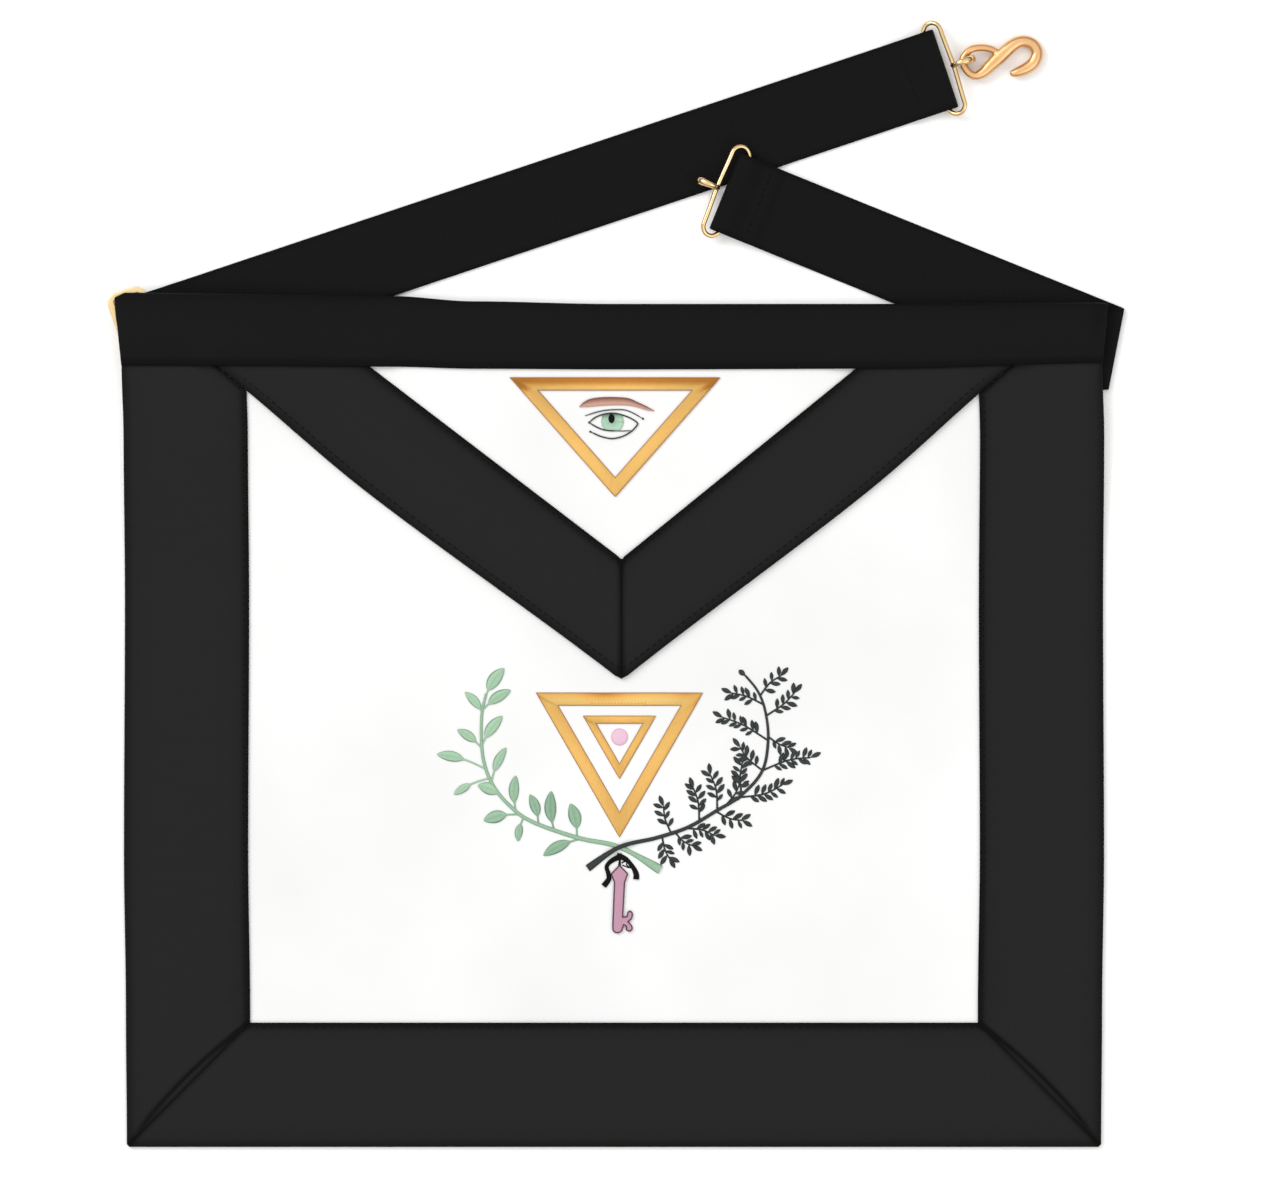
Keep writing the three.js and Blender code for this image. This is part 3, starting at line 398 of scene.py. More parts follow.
def wall_section(line, thickness):
    """Closed outline round a middle line of (place, height), as thick as given."""
    half = thickness / 2
    steps = [Vector(b) - Vector(a) for a, b in zip(line, line[1:])]
    headings = [(steps[max(0, i - 1)] + steps[min(i, len(steps) - 1)]).normalized() for i in range(len(line))]

    def skin_point(i, side, lean=90):
        out = headings[i] if i else -headings[i]
        up = Vector((headings[i].y, -headings[i].x)) * side
        angle = math.radians(lean)
        shift = up * math.sin(angle) + (out * math.cos(angle) if lean != 90 else Vector((0, 0)))
        return tuple(Vector(line[i]) + shift * half)

    def one_side(side):
        start = [skin_point(0, side, lean) for lean in RIM_ANGLES]
        end = [skin_point(len(line) - 1, side, lean) for lean in reversed(RIM_ANGLES)]
        return start + [skin_point(i, side) for i in range(len(line))] + end

    return one_side(1) + one_side(-1)[::-1]


print("points round a plain wall:", len(wall_section([(10, 0), (5, 0), (0, 0)], 1)))

# %% [markdown]
# ## Light and table
#
# A product table shot has one broad soft light and pale surroundings. The dome is bright overhead
# and darker near the horizon: that dark rim is what makes round gilt wire read as round, because a
# wire's sides mirror the horizon. A broad lamp from the upper left adds just enough direction for
# the folds. The floor is plain, pale and matt.

# %% Light the table
def light_dome():
    world = bpy.data.worlds.new("pale_studio")
    world.use_nodes = True
    tree = world.node_tree
    place = tree.nodes.new("ShaderNodeTexCoord")
    split = tree.nodes.new("ShaderNodeSeparateXYZ")
    ramp = tree.nodes.new("ShaderNodeValToRGB")
    ramp.color_ramp.elements[0].position = 0.1
    ramp.color_ramp.elements[0].color = (0.05, 0.045, 0.04, 1)
    ramp.color_ramp.elements[1].position = 0.75
    ramp.color_ramp.elements[1].color = (1, 0.995, 0.985, 1)
    tree.links.new(place.outputs["Generated"], split.inputs[0])
    tree.links.new(split.outputs["Z"], ramp.inputs["Fac"])
    tree.links.new(ramp.outputs["Color"], tree.nodes["Background"].inputs["Color"])
    tree.nodes["Background"].inputs["Strength"].default_value = 1.15
    bpy.context.scene.world = world


def soft_lamp(name, place, size, power):
    data = bpy.data.lights.new(name, "AREA")
    data.shape = "SQUARE"
    data.size = size
    data.energy = power
    lamp = bpy.data.objects.new(name, data)
    lamp.location = place
    lamp.rotation_euler = (-Vector(place)).to_track_quat("-Z", "Y").to_euler()
    bpy.context.scene.collection.objects.link(lamp)


light_dome()
soft_lamp("window_lamp", (-1.3, 1.2, 1.5), 1.2, 22)
soft_lamp("fill_lamp", (1.4, -0.9, 1.6), 1.6, 8)
bpy.context.scene.view_settings.view_transform = "Standard"

# %% [markdown]
# ## A helper for finishes
#
# Each finish is one Principled shader with a few nodes before it. The helper makes the material and
# hands back its tree. Two sources of coordinates serve all: the thread map, in millimetres along and
# across a piece, for whatever is woven or stitched, and plain object space for grain and wear.

# %% Start a finish
def new_finish(name, **settings):
    """A material with constant sockets set straight on its shader."""
    finish = bpy.data.materials.new(name)
    finish.use_nodes = True
    tree = finish.node_tree
    shader = tree.nodes["Principled BSDF"]
    for socket, value in settings.items():
        shader.inputs[socket.replace("_", " ")].default_value = value
    return finish, tree, shader


def thread_places(tree):
    node = tree.nodes.new("ShaderNodeUVMap")
    node.uv_map = "thread"
    return node.outputs["UV"]


def object_places(tree):
    return tree.nodes.new("ShaderNodeTexCoord").outputs["Object"]


def stretched(tree, places, scale):
    node = tree.nodes.new("ShaderNodeMapping")
    node.inputs["Scale"].default_value = scale
    tree.links.new(places, node.inputs["Vector"])
    return node.outputs["Vector"]


def grain(tree, places, scale, detail=2.0):
    node = tree.nodes.new("ShaderNodeTexNoise")
    node.inputs["Scale"].default_value = scale
    node.inputs["Detail"].default_value = detail
    tree.links.new(places, node.inputs["Vector"])
    return node.outputs["Fac"]


def bands(tree, places, pitch, direction, wobble=0.0):
    """Even ribs, as far apart as given in the units of the places."""
    node = tree.nodes.new("ShaderNodeTexWave")
    node.bands_direction = direction
    node.inputs["Scale"].default_value = math.pi / (10 * pitch)
    node.inputs["Distortion"].default_value = wobble
    tree.links.new(places, node.inputs["Vector"])
    return node.outputs["Fac"]


def colours(tree, amount, stops):
    """A colour for each amount; stops are (place, colour)."""
    node = tree.nodes.new("ShaderNodeValToRGB")
    ramp = node.color_ramp
    while len(ramp.elements) < len(stops):
        ramp.elements.new(0.5)
    for element, (place, colour) in zip(ramp.elements, stops):
        element.position = place
        element.color = (*colour, 1)
    tree.links.new(amount, node.inputs["Fac"])
    return node.outputs["Color"]


def sum_of(tree, first, second, weight):
    """first + second x weight, kept between 0 and 1."""
    node = tree.nodes.new("ShaderNodeMath")
    node.operation = "MULTIPLY_ADD"
    node.use_clamp = True
    node.inputs[1].default_value = weight
    tree.links.new(second, node.inputs[0])
    tree.links.new(first, node.inputs[2])
    return node.outputs["Value"]


def raise_grain(tree, shader, heights):
    """Bump from several (amount, height in millimetres), one after another."""
    below = None
    for amount, height in heights:
        node = tree.nodes.new("ShaderNodeBump")
        node.inputs["Distance"].default_value = height * MM
        tree.links.new(amount, node.inputs["Height"])
        if below:
            tree.links.new(below, node.inputs["Normal"])
        below = node.outputs["Normal"]
    tree.links.new(below, shader.inputs["Normal"])


def tone_of(tree):
    node = tree.nodes.new("ShaderNodeAttribute")
    node.attribute_name = "tone"
    return node.outputs["Fac"]


print("wave scale for ribs 1 mm apart:", round(math.pi / 10, 3))

# %% Lay the floor
FLOOR_HALF = 4.0
FLOOR_LEVEL = -0.3


def floor_finish():
    finish, tree, shader = new_finish("pale_table", Roughness=0.9)
    cloud = grain(tree, object_places(tree), 1.5)
    tint = colours(tree, cloud, [(0.3, (0.96, 0.96, 0.96)), (0.7, (0.97, 0.97, 0.97))])
    tree.links.new(tint, shader.inputs["Base Color"])
    return finish


def lay_floor():
    mesh = bpy.data.meshes.new("table_top")
    corners = [(x * FLOOR_HALF, y * FLOOR_HALF, FLOOR_LEVEL * MM)
               for x, y in ((-1, -1), (1, -1), (1, 1), (-1, 1))]
    mesh.from_pydata(corners, [], [(0, 1, 2, 3)])
    mesh.materials.append(floor_finish())
    floor = bpy.data.objects.new("table_top", mesh)
    bpy.context.scene.collection.objects.link(floor)


lay_floor()
print("the floor lies just under the apron")

# %% [markdown]
# ## White cloth
#
# The body of the apron is a smooth matt white, like fine lambskin or a close plain weave. From
# above it is nearly a pure white, so its finish must come from small things: a close grain that
# shows only near by, a barely warm tint, and the unevenness already in the mesh.

# %% Mix the white
def white_cloth_finish():
    finish, tree, shader = new_finish("white_lambskin_cloth", Roughness=0.75, Specular_IOR_Level=0.25)
    places = object_places(tree)
    cloud = grain(tree, places, 9, 3)
    tint = colours(tree, cloud, [(0.3, (0.745, 0.747, 0.75)), (0.7, (0.83, 0.83, 0.832))])
    tree.links.new(tint, shader.inputs["Base Color"])
    close_grain = grain(tree, places, 1600, 3)
    pores = grain(tree, places, 420, 2)
    raise_grain(tree, shader, [(close_grain, 0.05), (pores, 0.04)])
    return finish


white_cloth = white_cloth_finish()
print("finish:", white_cloth.name)

# %% Lay the white body
PANEL_STEP = 4.0


def plain_cloth_section(width, level, thickness):
    """A flat cloth's outline across its whole width, in shares of it."""
    count = max(2, round(width / PANEL_STEP))
    inset = thickness / 2
    line = [(mix(width - inset, inset, t), level + thickness / 2) for t in shares(count)]
    return [(place / width, height) for place, height in wall_section(line, thickness)]


def lay_apron_panel():
    foot = BOTTOM + EDGE_INSET
    head = TOP - EDGE_INSET - RIBBON_THICK
    rows = [mix(foot, head, t) for t in shares(round((head - foot) / PANEL_STEP))]
    pairs = [((side_x("left", y) + EDGE_INSET, y), (side_x("right", y) - EDGE_INSET, y)) for y in rows]
    width = max(math.dist(*pair) for pair in pairs)
    pile = Pile()
    lay(pile, pairs, [plain_cloth_section(width, 0, PANEL_THICK)] * len(pairs))
    panel = make_piece("white_body", pile, white_cloth, stands_for=["apron_panel"])


lay_apron_panel()

# %% [markdown]
# ## Black ribbon
#
# The wide bindings are matt black ribbon. Real ribbon is ribbed across its width, finer than the
# camera can part, so the ribs only soften the sheen. Where it is pressed into a fold or sewn down,
# and near its edges, shade is painted into its colour; the tone carried by the mesh says where.

# %% Dye the ribbons, with painted shade at their edges and folds
RIB_PITCH = 0.7


def ribbon_finish(name, black, shaded_black):
    finish, tree, shader = new_finish(name, Roughness=0.72, Specular_IOR_Level=0.08,
                                      Sheen_Weight=0.02, Sheen_Roughness=0.5)
    threads = thread_places(tree)
    fleck = grain(tree, stretched(tree, threads, (0.25, 0.04, 1)), 1.0, 3)
    amount = sum_of(tree, tone_of(tree), fleck, 0.12)
    # The dark stop is painted shade where the tone is high; the fleck adds a little real dye variation.
    dye_and_shade = colours(tree, amount, [(0.0, black), (1.0, shaded_black)])
    tree.links.new(dye_and_shade, shader.inputs["Base Color"])
    ribs = bands(tree, threads, RIB_PITCH, "X", 0.3)
    fuzz = grain(tree, object_places(tree), 2500, 2)
    raise_grain(tree, shader, [(ribs, 0.05), (fuzz, 0.04)])
    return finish


black_ribbon = ribbon_finish("black_ribbon", (0.0145, 0.0145, 0.0147), (0.002, 0.002, 0.002))
waist_ribbon = ribbon_finish("waistband_ribbon", (0.0055, 0.0055, 0.0057), (0.0015, 0.0015, 0.0015))
print("ribbons:", black_ribbon.name, waist_ribbon.name)

# %% [markdown]
# A ribbon that binds an edge is folded over it. We draw the middle line of its section: flat across
# the top, a tight arc at the edge, then down to the table. The wall tool gives it its thickness.
# Marks lie close together near both edges, where the ribbon curves and is sewn, and wide apart
# between.

# %% Section of a bound ribbon
FOLD_RADIUS = 1.6
EDGE_MARKS = (0.5, 1.0, 1.5, 2.0, 2.6, 3.3, 4.2, 5.4, 7.0, 9.0)


def marks_across(width, first):
    """Places across a ribbon from one edge's first mark to the other edge, close near both."""
    near = [m for m in EDGE_MARKS if m >= first]
    far = [width - m for m in reversed(EDGE_MARKS)]
    middle = max(1, round((far[0] - near[-1]) / 5))
    between = [mix(near[-1], far[0], t) for t in shares(middle)][1:-1]
    return near + between + far


def ribbon_section(width, level, lip_foot):
    """Outline in (share of the width from the outer edge, height), with a lip folded down to its foot."""
    half = RIBBON_THICK / 2
    top = sorted(marks_across(width, FOLD_RADIUS + 0.1), reverse=True)
    line = [(s, level + half) for s in top]
    centre = level + RIBBON_THICK - FOLD_RADIUS
    bend = FOLD_RADIUS - half
    for angle in range(90, 181, 15):
        turn = math.radians(angle)
        line.append((FOLD_RADIUS + bend * math.cos(turn), centre + bend * math.sin(turn)))
    line += [(half, mix(centre, lip_foot + half, t)) for t in (0.5, 1.0)]
    return [(s / width, height) for s, height in wall_section(line, RIBBON_THICK)]


print("points round a bound ribbon:", len(ribbon_section(BINDING_WIDTH, ON_PANEL, 0)))

# %% [markdown]
# ## Side and bottom bindings
#
# Each corner is mitred: the side ribbon and the bottom ribbon meet on a slanting line, and the side
# ribbon keeps a second soft crease beside it where the fold was pressed. We start each side ribbon
# with pairs that run along the mitre and let them fan out until they lie level.

# %% Where the ribbons are pressed, sewn and puffed, and where shade is painted on them
PUFF = 0.35
SEW_IN = 2.0
SEW_DIP = 0.28
PUFF_EASE = 8.0
EDGE_SHADE = 4.5
CREASE_REACH = 3.1
HELD_FLAT = 16


def sewn_relief(outer_gap, inner_gap, hold):
    """Rise of a ribbon, and the tone of shade painted near its edges, by its distance from its outer and
    inner edges.
    """
    near = min(outer_gap, inner_gap)
    rise = PUFF * smooth(near / PUFF_EASE) - SEW_DIP * bump(inner_gap - SEW_IN, 0.7)
    # Painted shade: the ribbon is drawn darker near both edges, most near the inner, sewn one.
    edge_shade_tone = 0.8 * (1 - smooth(inner_gap / EDGE_SHADE)) + 0.5 * (1 - smooth(outer_gap / EDGE_SHADE))
    return rise * hold, edge_shade_tone + 0.15 * (1 - smooth(near / (3 * EDGE_SHADE)))


def under_waistband(y):
    """0 under the waistband, which holds the ribbons flat, and 1 well below it."""
    return smooth((WAIST_LINE - y) / HELD_FLAT)


def mitre_of(side):
    """A mitre's outer corner and its inner one."""
    inner_y = BOTTOM + BINDING_WIDTH
    sign = 1 if side == "left" else -1
    return (side_x(side, BOTTOM), BOTTOM), (side_x(side, inner_y) + sign * BINDING_WIDTH, inner_y)


def by_mitre(side, x, y):
    """Share along the mitre and distance from it."""
    corner, apex = (Vector(p) for p in mitre_of(side))
    way = apex - corner
    out = Vector((x, y)) - corner
    return out.dot(way) / way.length_squared, abs(out.cross(way)) / way.length


def second_crease(side, x, y):
    share, gap = by_mitre(side, x, y)
    if not 0 < share < 1:
        return 0.0
    return bump(gap - CREASE_REACH * math.sin(math.pi * share) ** 0.7, 1.0) * smooth(4 * share)


print("the left mitre runs from", mitre_of("left"))

# %% Edge of the flap, which the side bindings make room for
FLAP_BELLY = [dict(down=0.0, out=0.0), dict(down=0.4, out=0.03), dict(down=1.0, out=0.0)]
FLAP_TIP_X = 3.1
FLAP_TIP_WIDTH = 1.6
FLAP_TUCK = 5.0
FLAP_EDGE_CLEAR = 0.05


def flap_edge(side, down):
    """Plan point of the flap's edge at a share of its drop."""
    sign = -1 if side == "left" else 1
    belly = read_table(FLAP_BELLY, "down", "out", down) * FLAP_WIDTH / 2
    x = mix(sign * FLAP_WIDTH / 2, FLAP_TIP_X + sign * FLAP_TIP_WIDTH / 2, down) + sign * belly
    return x, WAIST_LINE - down * FLAP_DROP


print("the flap's tip lies at", flap_edge("left", 1))

# %% Lay the side bindings
MITRE_GAP = 0.005
CORNER_CUT = 0.8
MITRE_RISES = (0, 0.1, 0.35, 1.1, 1.8, 2.5, 3.2, 3.9, 4.6, 5.4, 6.5, 8.5, 12, 17)
FAN_REACH = 45
RIM_THINNING = (0.5, 0.85, 1.0)


def binding_inner(side, y):
    """Inner edge of a side ribbon, which makes room beside the flap's corner."""
    sign = 1 if side == "left" else -1
    inner = side_x(side, y) + sign * BINDING_WIDTH
    down = min(1, max(0, (WAIST_LINE - y) / FLAP_DROP))
    flap = flap_edge(side, down)[0] - sign * FLAP_EDGE_CLEAR
    return min(inner, flap) if side == "left" else max(inner, flap)


def corner_cut(outer, inner, gap):
    """The pair with its outer point drawn in along it, to round a corner that is a gap away."""
    cut = CORNER_CUT * (1 - smooth(gap / CORNER_CUT)) / math.dist(outer, inner)
    return mix_point(outer, inner, cut), inner


def flap_crossing(side):
    """Height at which the flap's edge meets the side ribbon's straight inner edge."""
    low = WAIST_LINE - 2 * WAIST_HEIGHT
    high = WAIST_LINE
    sign = 1 if side == "left" else -1
    for _ in range(30):
        y = (low + high) / 2
        straight = side_x(side, y) + sign * BINDING_WIDTH
        low, high = (y, high) if abs(binding_inner(side, y) - straight) < 1e-6 else (low, y)
    return low


def side_pairs(side):
    fan_foot = BOTTOM + MITRE_RISES[-1]
    fan_head = BOTTOM + BINDING_WIDTH + FAN_REACH
    pairs = []
    for rise in MITRE_RISES:
        low = BOTTOM + MITRE_GAP + rise
        high = low + BINDING_WIDTH
        pairs.append(corner_cut((side_x(side, low), low), (binding_inner(side, high), high), rise))
    for t in shares(14)[1:]:
        low = mix(fan_foot, fan_head, t)
        high = mix(fan_foot + BINDING_WIDTH, fan_head, t)
        pairs.append(((side_x(side, low), low), (binding_inner(side, high), high)))
    crossing = flap_crossing(side)
    stretches = [(fan_head, 4), (crossing, 1), (WAIST_LINE, 1), (WAIST_LINE + FLAP_TUCK, 5),
                 (TOP - EDGE_INSET - RIBBON_THICK, 5)]
    for (start, step), (stop, _) in zip(stretches, stretches[1:]):
        for t in shares(max(1, round((stop - start) / step)))[1:]:
            y = mix(start, stop, t)
            pairs.append(((side_x(side, y), y), (binding_inner(side, y), y)))
    return pairs


def thinned(section, share, level):
    """A section drawn thinner round its middle height, for the rim of a cut or folded end."""
    middle = level + RIBBON_THICK / 2
    return [(place, middle + (height - middle) * share if height >= level else height)
            for place, height in section]


def rimmed(count, whole, level, at_start=True, at_end=True):
    """A section for each pair, the whole one but for the thinned ones at a cut or folded end."""
    rims = [thinned(whole, share, level) for share in RIM_THINNING]
    start = rims if at_start else []
    end = rims[::-1] if at_end else []
    return start + [whole] * (count - len(start) - len(end)) + end


def side_binding(side):
    def relief(x, y, share):
        outer_gap = share * BINDING_WIDTH
        rise, tone = sewn_relief(outer_gap, BINDING_WIDTH - outer_gap, under_waistband(y))
        along, gap = by_mitre(side, x, y)
        crease = second_crease(side, x, y)
        mitre_shade = bump(gap, 1.2) if -0.1 < along < 1.05 else 0.0
        lip = smooth(outer_gap / 3)
        # Painted shade: the tone darkens the second crease and the mitre line.
        return rise - 0.35 * crease * lip, min(1, tone + crease + 0.8 * mitre_shade)

    pairs = side_pairs(side)
    sections = rimmed(len(pairs), ribbon_section(BINDING_WIDTH, ON_PANEL, 0), ON_PANEL, at_end=False)
    pile = Pile()
    lay(pile, pairs, sections, relief, thread=BINDING_WIDTH)
    piece = make_piece(f"side_ribbon_{side}", pile, black_ribbon,
                       stands_for=[f"binding_{side}"])
    return pairs


side_seams = {side: side_binding(side) for side in ("left", "right")}

# %% Lay the bottom binding
BOTTOM_OUTS = [0, 0.1, 0.35, 1.1, 1.8, 2.6, 3.6, 5, 7, 10]
BOTTOM_STEP = 5


def bottom_pairs():
    corner_left, apex_left = mitre_of("left")
    corner_right, apex_right = mitre_of("right")
    width = corner_right[0] - corner_left[0]
    first = BOTTOM_OUTS[-1]
    between = [mix(first, width - first, t) for t in shares(round(width / BOTTOM_STEP))][1:-1]
    outs = BOTTOM_OUTS + between + [width - out for out in reversed(BOTTOM_OUTS)]
    pairs = []
    for out in outs:
        share = out / width
        low_x = mix(corner_left[0] + MITRE_GAP, corner_right[0] - MITRE_GAP, share)
        high_x = mix(apex_left[0] + MITRE_GAP, apex_right[0] - MITRE_GAP, share)
        pairs.append(corner_cut((low_x, BOTTOM), (high_x, BOTTOM + BINDING_WIDTH), min(out, width - out)))
    return pairs


def bottom_binding():
    def relief(x, y, share):
        outer_gap = share * BINDING_WIDTH
        rise, tone = sewn_relief(outer_gap, BINDING_WIDTH - outer_gap, 1)
        mitre_shade = max(bump(by_mitre(side, x, y)[1], 1.2) for side in ("left", "right"))
        # Painted shade: the tone darkens both mitre lines.
        return rise, min(1, tone + 0.7 * mitre_shade)

    pairs = bottom_pairs()
    sections = rimmed(len(pairs), ribbon_section(BINDING_WIDTH, ON_PANEL, 0), ON_PANEL)
    pile = Pile()
    lay(pile, pairs, sections, relief, thread=BINDING_WIDTH)
    piece = make_piece("bottom_ribbon", pile, black_ribbon, stands_for=["binding_bottom"])
    return pairs


bottom_seam = bottom_binding()

# %% [markdown]
# ## The flap
#
# The flap is a second white cloth, a wide triangle whose top is caught under the waistband. Two
# lengths of ribbon bind its slanting edges. They fold round the cloth's edge, meet on an upright
# seam at the tip, and their upper ends run a little way under the waistband.

# %% Lay the white flap
FLAP_STEP = 4.0


def lay_flap():
    inset = EDGE_INSET / math.sin(math.atan2(FLAP_DROP, FLAP_WIDTH / 2))
    downs = [t for t in shares(round(FLAP_DROP / FLAP_STEP)) if t < 0.985]
    rows = [(WAIST_LINE + FLAP_TUCK, 0.0)] + [(WAIST_LINE - t * FLAP_DROP, t) for t in downs]
    pairs = []
    for y, down in rows:
        pairs.append(((flap_edge("left", down)[0] + inset, y), (flap_edge("right", down)[0] - inset, y)))
    section = plain_cloth_section(FLAP_WIDTH, ON_PANEL, FLAP_THICK)
    pile = Pile()
    lay(pile, pairs, [section] * len(pairs))
    piece = make_piece("white_flap", pile, white_cloth, stands_for=["flap"])


lay_flap()

# %% Bind the flap
FLAP_RIBBON = 39.3
FLAP_RIBBON_TUCK = 3.0
FLAP_RIBBON_ROWS = 90
SEAM_GAP = 0.02
SEAM_BACKS = (0.5, 0.15)


def flap_ribbon_pairs(side):
    sign = -1 if side == "left" else 1
    slope = math.atan2(FLAP_DROP, FLAP_WIDTH / 2)
    seam = FLAP_TIP_X + sign * SEAM_GAP / 2
    top_outer = flap_edge(side, 0)
    top_inner = (top_outer[0] - sign * FLAP_RIBBON / math.sin(slope), WAIST_LINE)
    apex = (seam, WAIST_LINE - FLAP_DROP + FLAP_RIBBON / math.cos(slope))
    tucked = (top_inner[0] + sign * FLAP_RIBBON_TUCK / math.tan(slope), WAIST_LINE + FLAP_RIBBON_TUCK)
    pairs = [((top_outer[0], WAIST_LINE + FLAP_RIBBON_TUCK), tucked)]
    for t in shares(FLAP_RIBBON_ROWS):
        outer = flap_edge(side, t)
        pairs.append((outer if t < 1 else (seam, outer[1]), mix_point(top_inner, apex, t)))
    last_outer, last_inner = pairs[-1]
    for back in SEAM_BACKS:
        outer = (last_outer[0] + sign * back, last_outer[1] + 0.8 * back)
        inner = (last_inner[0] + sign * back, last_inner[1])
        pairs.insert(len(pairs) - 1, (outer, inner))
    return pairs


def flap_binding(side):
    def relief(x, y, share):
        outer_gap = share * FLAP_RIBBON
        seam_gap = abs(x - FLAP_TIP_X)
        rise, tone = sewn_relief(outer_gap, FLAP_RIBBON - outer_gap, under_waistband(y))
        ridge = 0.25 * bump(seam_gap - 3, 2) * smooth(outer_gap / 4) if side == "right" else 0.0
        # Painted shade: the tone darkens the seam at the tip.
        return rise + ridge, min(1, tone + 0.85 * bump(seam_gap, 1.3))

    pairs = flap_ribbon_pairs(side)
    sections = rimmed(len(pairs), ribbon_section(FLAP_RIBBON, ON_FLAP, ON_PANEL), ON_FLAP, at_start=False)
    pile = Pile()
    lay(pile, pairs, sections, relief, thread=FLAP_RIBBON)
    piece = make_piece(f"flap_ribbon_{side}", pile, black_ribbon,
                       stands_for=[f"flap_binding_{side}"])
    return pairs


flap_seams = {side: flap_binding(side) for side in ("left", "right")}

# %% [markdown]
# ## The waistband
#
# A darker ribbon is folded over the top edge and sewn through all the layers. Its lower edge climbs
# over the flap's two ribbons and lies lower between them, on the bare flap. The left top corner
# is turned in a little, which shows as a small slanting cut over the gilt slider.

# %% Fold the waistband over the top
CLIMB_HEIGHT = 1.3
CORNER_TURN = 2.2
EDGE_RIDGE = 2.4
CLIMB_OUT = 12
CLIMB_EASE = 9
END_FOLD_IN = 2.8
WAIST_ROWS = 100
WAIST_END_ROWS = [0, 0.0004, 0.0012]


def waistband_climb(x, y):
    """How far the waistband rises over the ends of the flap's ribbons."""
    inner = FLAP_WIDTH / 2 - FLAP_RIBBON / math.sin(math.atan2(FLAP_DROP, FLAP_WIDTH / 2))
    from_inside = smooth((abs(x) - inner + CLIMB_OUT + 2) / CLIMB_EASE)
    from_outside = smooth((FLAP_WIDTH / 2 + CLIMB_OUT - abs(x)) / CLIMB_EASE)
    return CLIMB_HEIGHT * from_inside * from_outside * smooth((WAIST_LINE + CLIMB_OUT - y) / 7)


def waist_pairs():
    steps = WAIST_END_ROWS + shares(WAIST_ROWS)[1:-1] + [1 - t for t in reversed(WAIST_END_ROWS)]
    pairs = []
    for t in steps:
        x = mix(-BODY_WIDTH / 2, BODY_WIDTH / 2, t)
        ends = []
        for edge in ("top", "bottom"):
            y = waist_y(edge, x)
            turn = 0.0
            if edge == "top":
                turn = max(0.0, CORNER_TURN - t * BODY_WIDTH) + 0.5 * max(0.0, 1.5 - (1 - t) * BODY_WIDTH)
            ends.append((mix(side_x("left", y), side_x("right", y), t), y - turn))
        pairs.append(tuple(ends))
    return pairs


def waistband():
    def relief(x, y, share):
        outer_gap = share * WAIST_HEIGHT
        inner_gap = WAIST_HEIGHT - outer_gap
        rise, tone = sewn_relief(outer_gap, inner_gap, 1)
        end_fold_shade = bump(BODY_WIDTH / 2 - END_FOLD_IN - x, 0.6)
        ridge = 0.3 * bump(inner_gap - EDGE_RIDGE, 1.0)
        # Painted shade: the tone darkens the folded end.
        return rise + ridge + waistband_climb(x, y), min(1, tone + 0.5 * end_fold_shade)

    pairs = waist_pairs()
    sections = rimmed(len(pairs), ribbon_section(WAIST_HEIGHT, ON_RIBBON, 0), ON_RIBBON)
    pile = Pile()
    lay(pile, pairs, sections, relief, thread=WAIST_HEIGHT)
    piece = make_piece("waist_ribbon", pile, waist_ribbon, stands_for=["waistband"])
    return pairs


waist_seam = waistband()

# %% [markdown]
# ## The belt
#
# The belt is flat webbing 34 mm wide. Its side view is a line: it runs from the slider under the
# apron, along the table, round the bar of a ring and back under itself. We carry that line across
# the width. The short belt is also folded over obliquely beside the waistband, so its plan places
# come from a function that turns the webbing over a slanting line.

# %% Side view of a belt's end
WEB_WIDTH = 34
LOOP_RETURN = 12.5
BELT_RISE = 6
LOOP_RISE = 8
RING_WIRE = 2.0
RING_BAR_UP = PLY + RING_WIRE / 2
RING_FOLD = RING_WIRE / 2 + CLEAR + WEB_THICK
LOOP_SLACK = 1.9


def loop_profile(bar, bar_half, bar_up, lean, back, slack=0.0):
    """(along, up) from the belt, round a bar and back to the end of the lower ply.
    The fold stands off from the bar by the slack."""
    lie = WEB_THICK / 2
    radius = bar_up - lie
    back_end = bar - back

    def rise(start, stop, low, high):
        return [(mix(start, stop, t), mix(low, high, smooth(t))) for t in shares(12)]

    turn = []
    for t in shares(16):
        angle = math.pi / 2 - math.pi * t
        turn.append((bar - bar_half + slack + radius * math.cos(angle), bar_up + radius * math.sin(angle)))
    first = rise(back_end - BELT_RISE, back_end - CLEAR, lie, lie + PLY)
    first += rise(bar - lean - LOOP_RISE, bar - lean, lie + PLY, bar_up + radius)
    return first + turn + [(back_end, lie)]


def ring_loop(length):
    return loop_profile(length - RING_FOLD, 0, RING_BAR_UP, RING_WIRE / 2, LOOP_RETURN, LOOP_SLACK)


print("points along a ring loop:", len(ring_loop(351)))

# %% Weave the webbing
def webbing_finish():
    finish, tree, shader = new_finish("black_webbing", Roughness=0.8, Specular_IOR_Level=0.08,
                                      Sheen_Weight=0.02, Sheen_Roughness=0.5)
    threads = thread_places(tree)
    fleck = grain(tree, stretched(tree, threads, (0.3, 0.3, 1)), 1.0, 3)
    amount = sum_of(tree, tone_of(tree), fleck, 0.2)
    # The dark stop is painted shade towards the webbing's edges; the fleck adds a little real dye variation.
    dye_and_shade = colours(tree, amount, [(0.0, (0.0055, 0.0055, 0.0058)), (1.0, (0.0015, 0.0015, 0.0015))])
    tree.links.new(dye_and_shade, shader.inputs["Base Color"])
    picks = bands(tree, threads, 0.9, "X", 0.4)
    ends = bands(tree, threads, 1.1, "Y", 0.4)
    raise_grain(tree, shader, [(picks, 0.1), (ends, 0.06)])
    return finish


black_webbing = webbing_finish()
print("finish:", black_webbing.name)

# %% Carry a side view across the width
LONGEST_STEP = 6.0
ACROSS_MARKS = [-1.0, -0.97, -0.93, -0.88, -0.8, -0.6, -0.3, 0.0, 0.3, 0.6, 0.8, 0.88, 0.93, 0.97, 1.0]


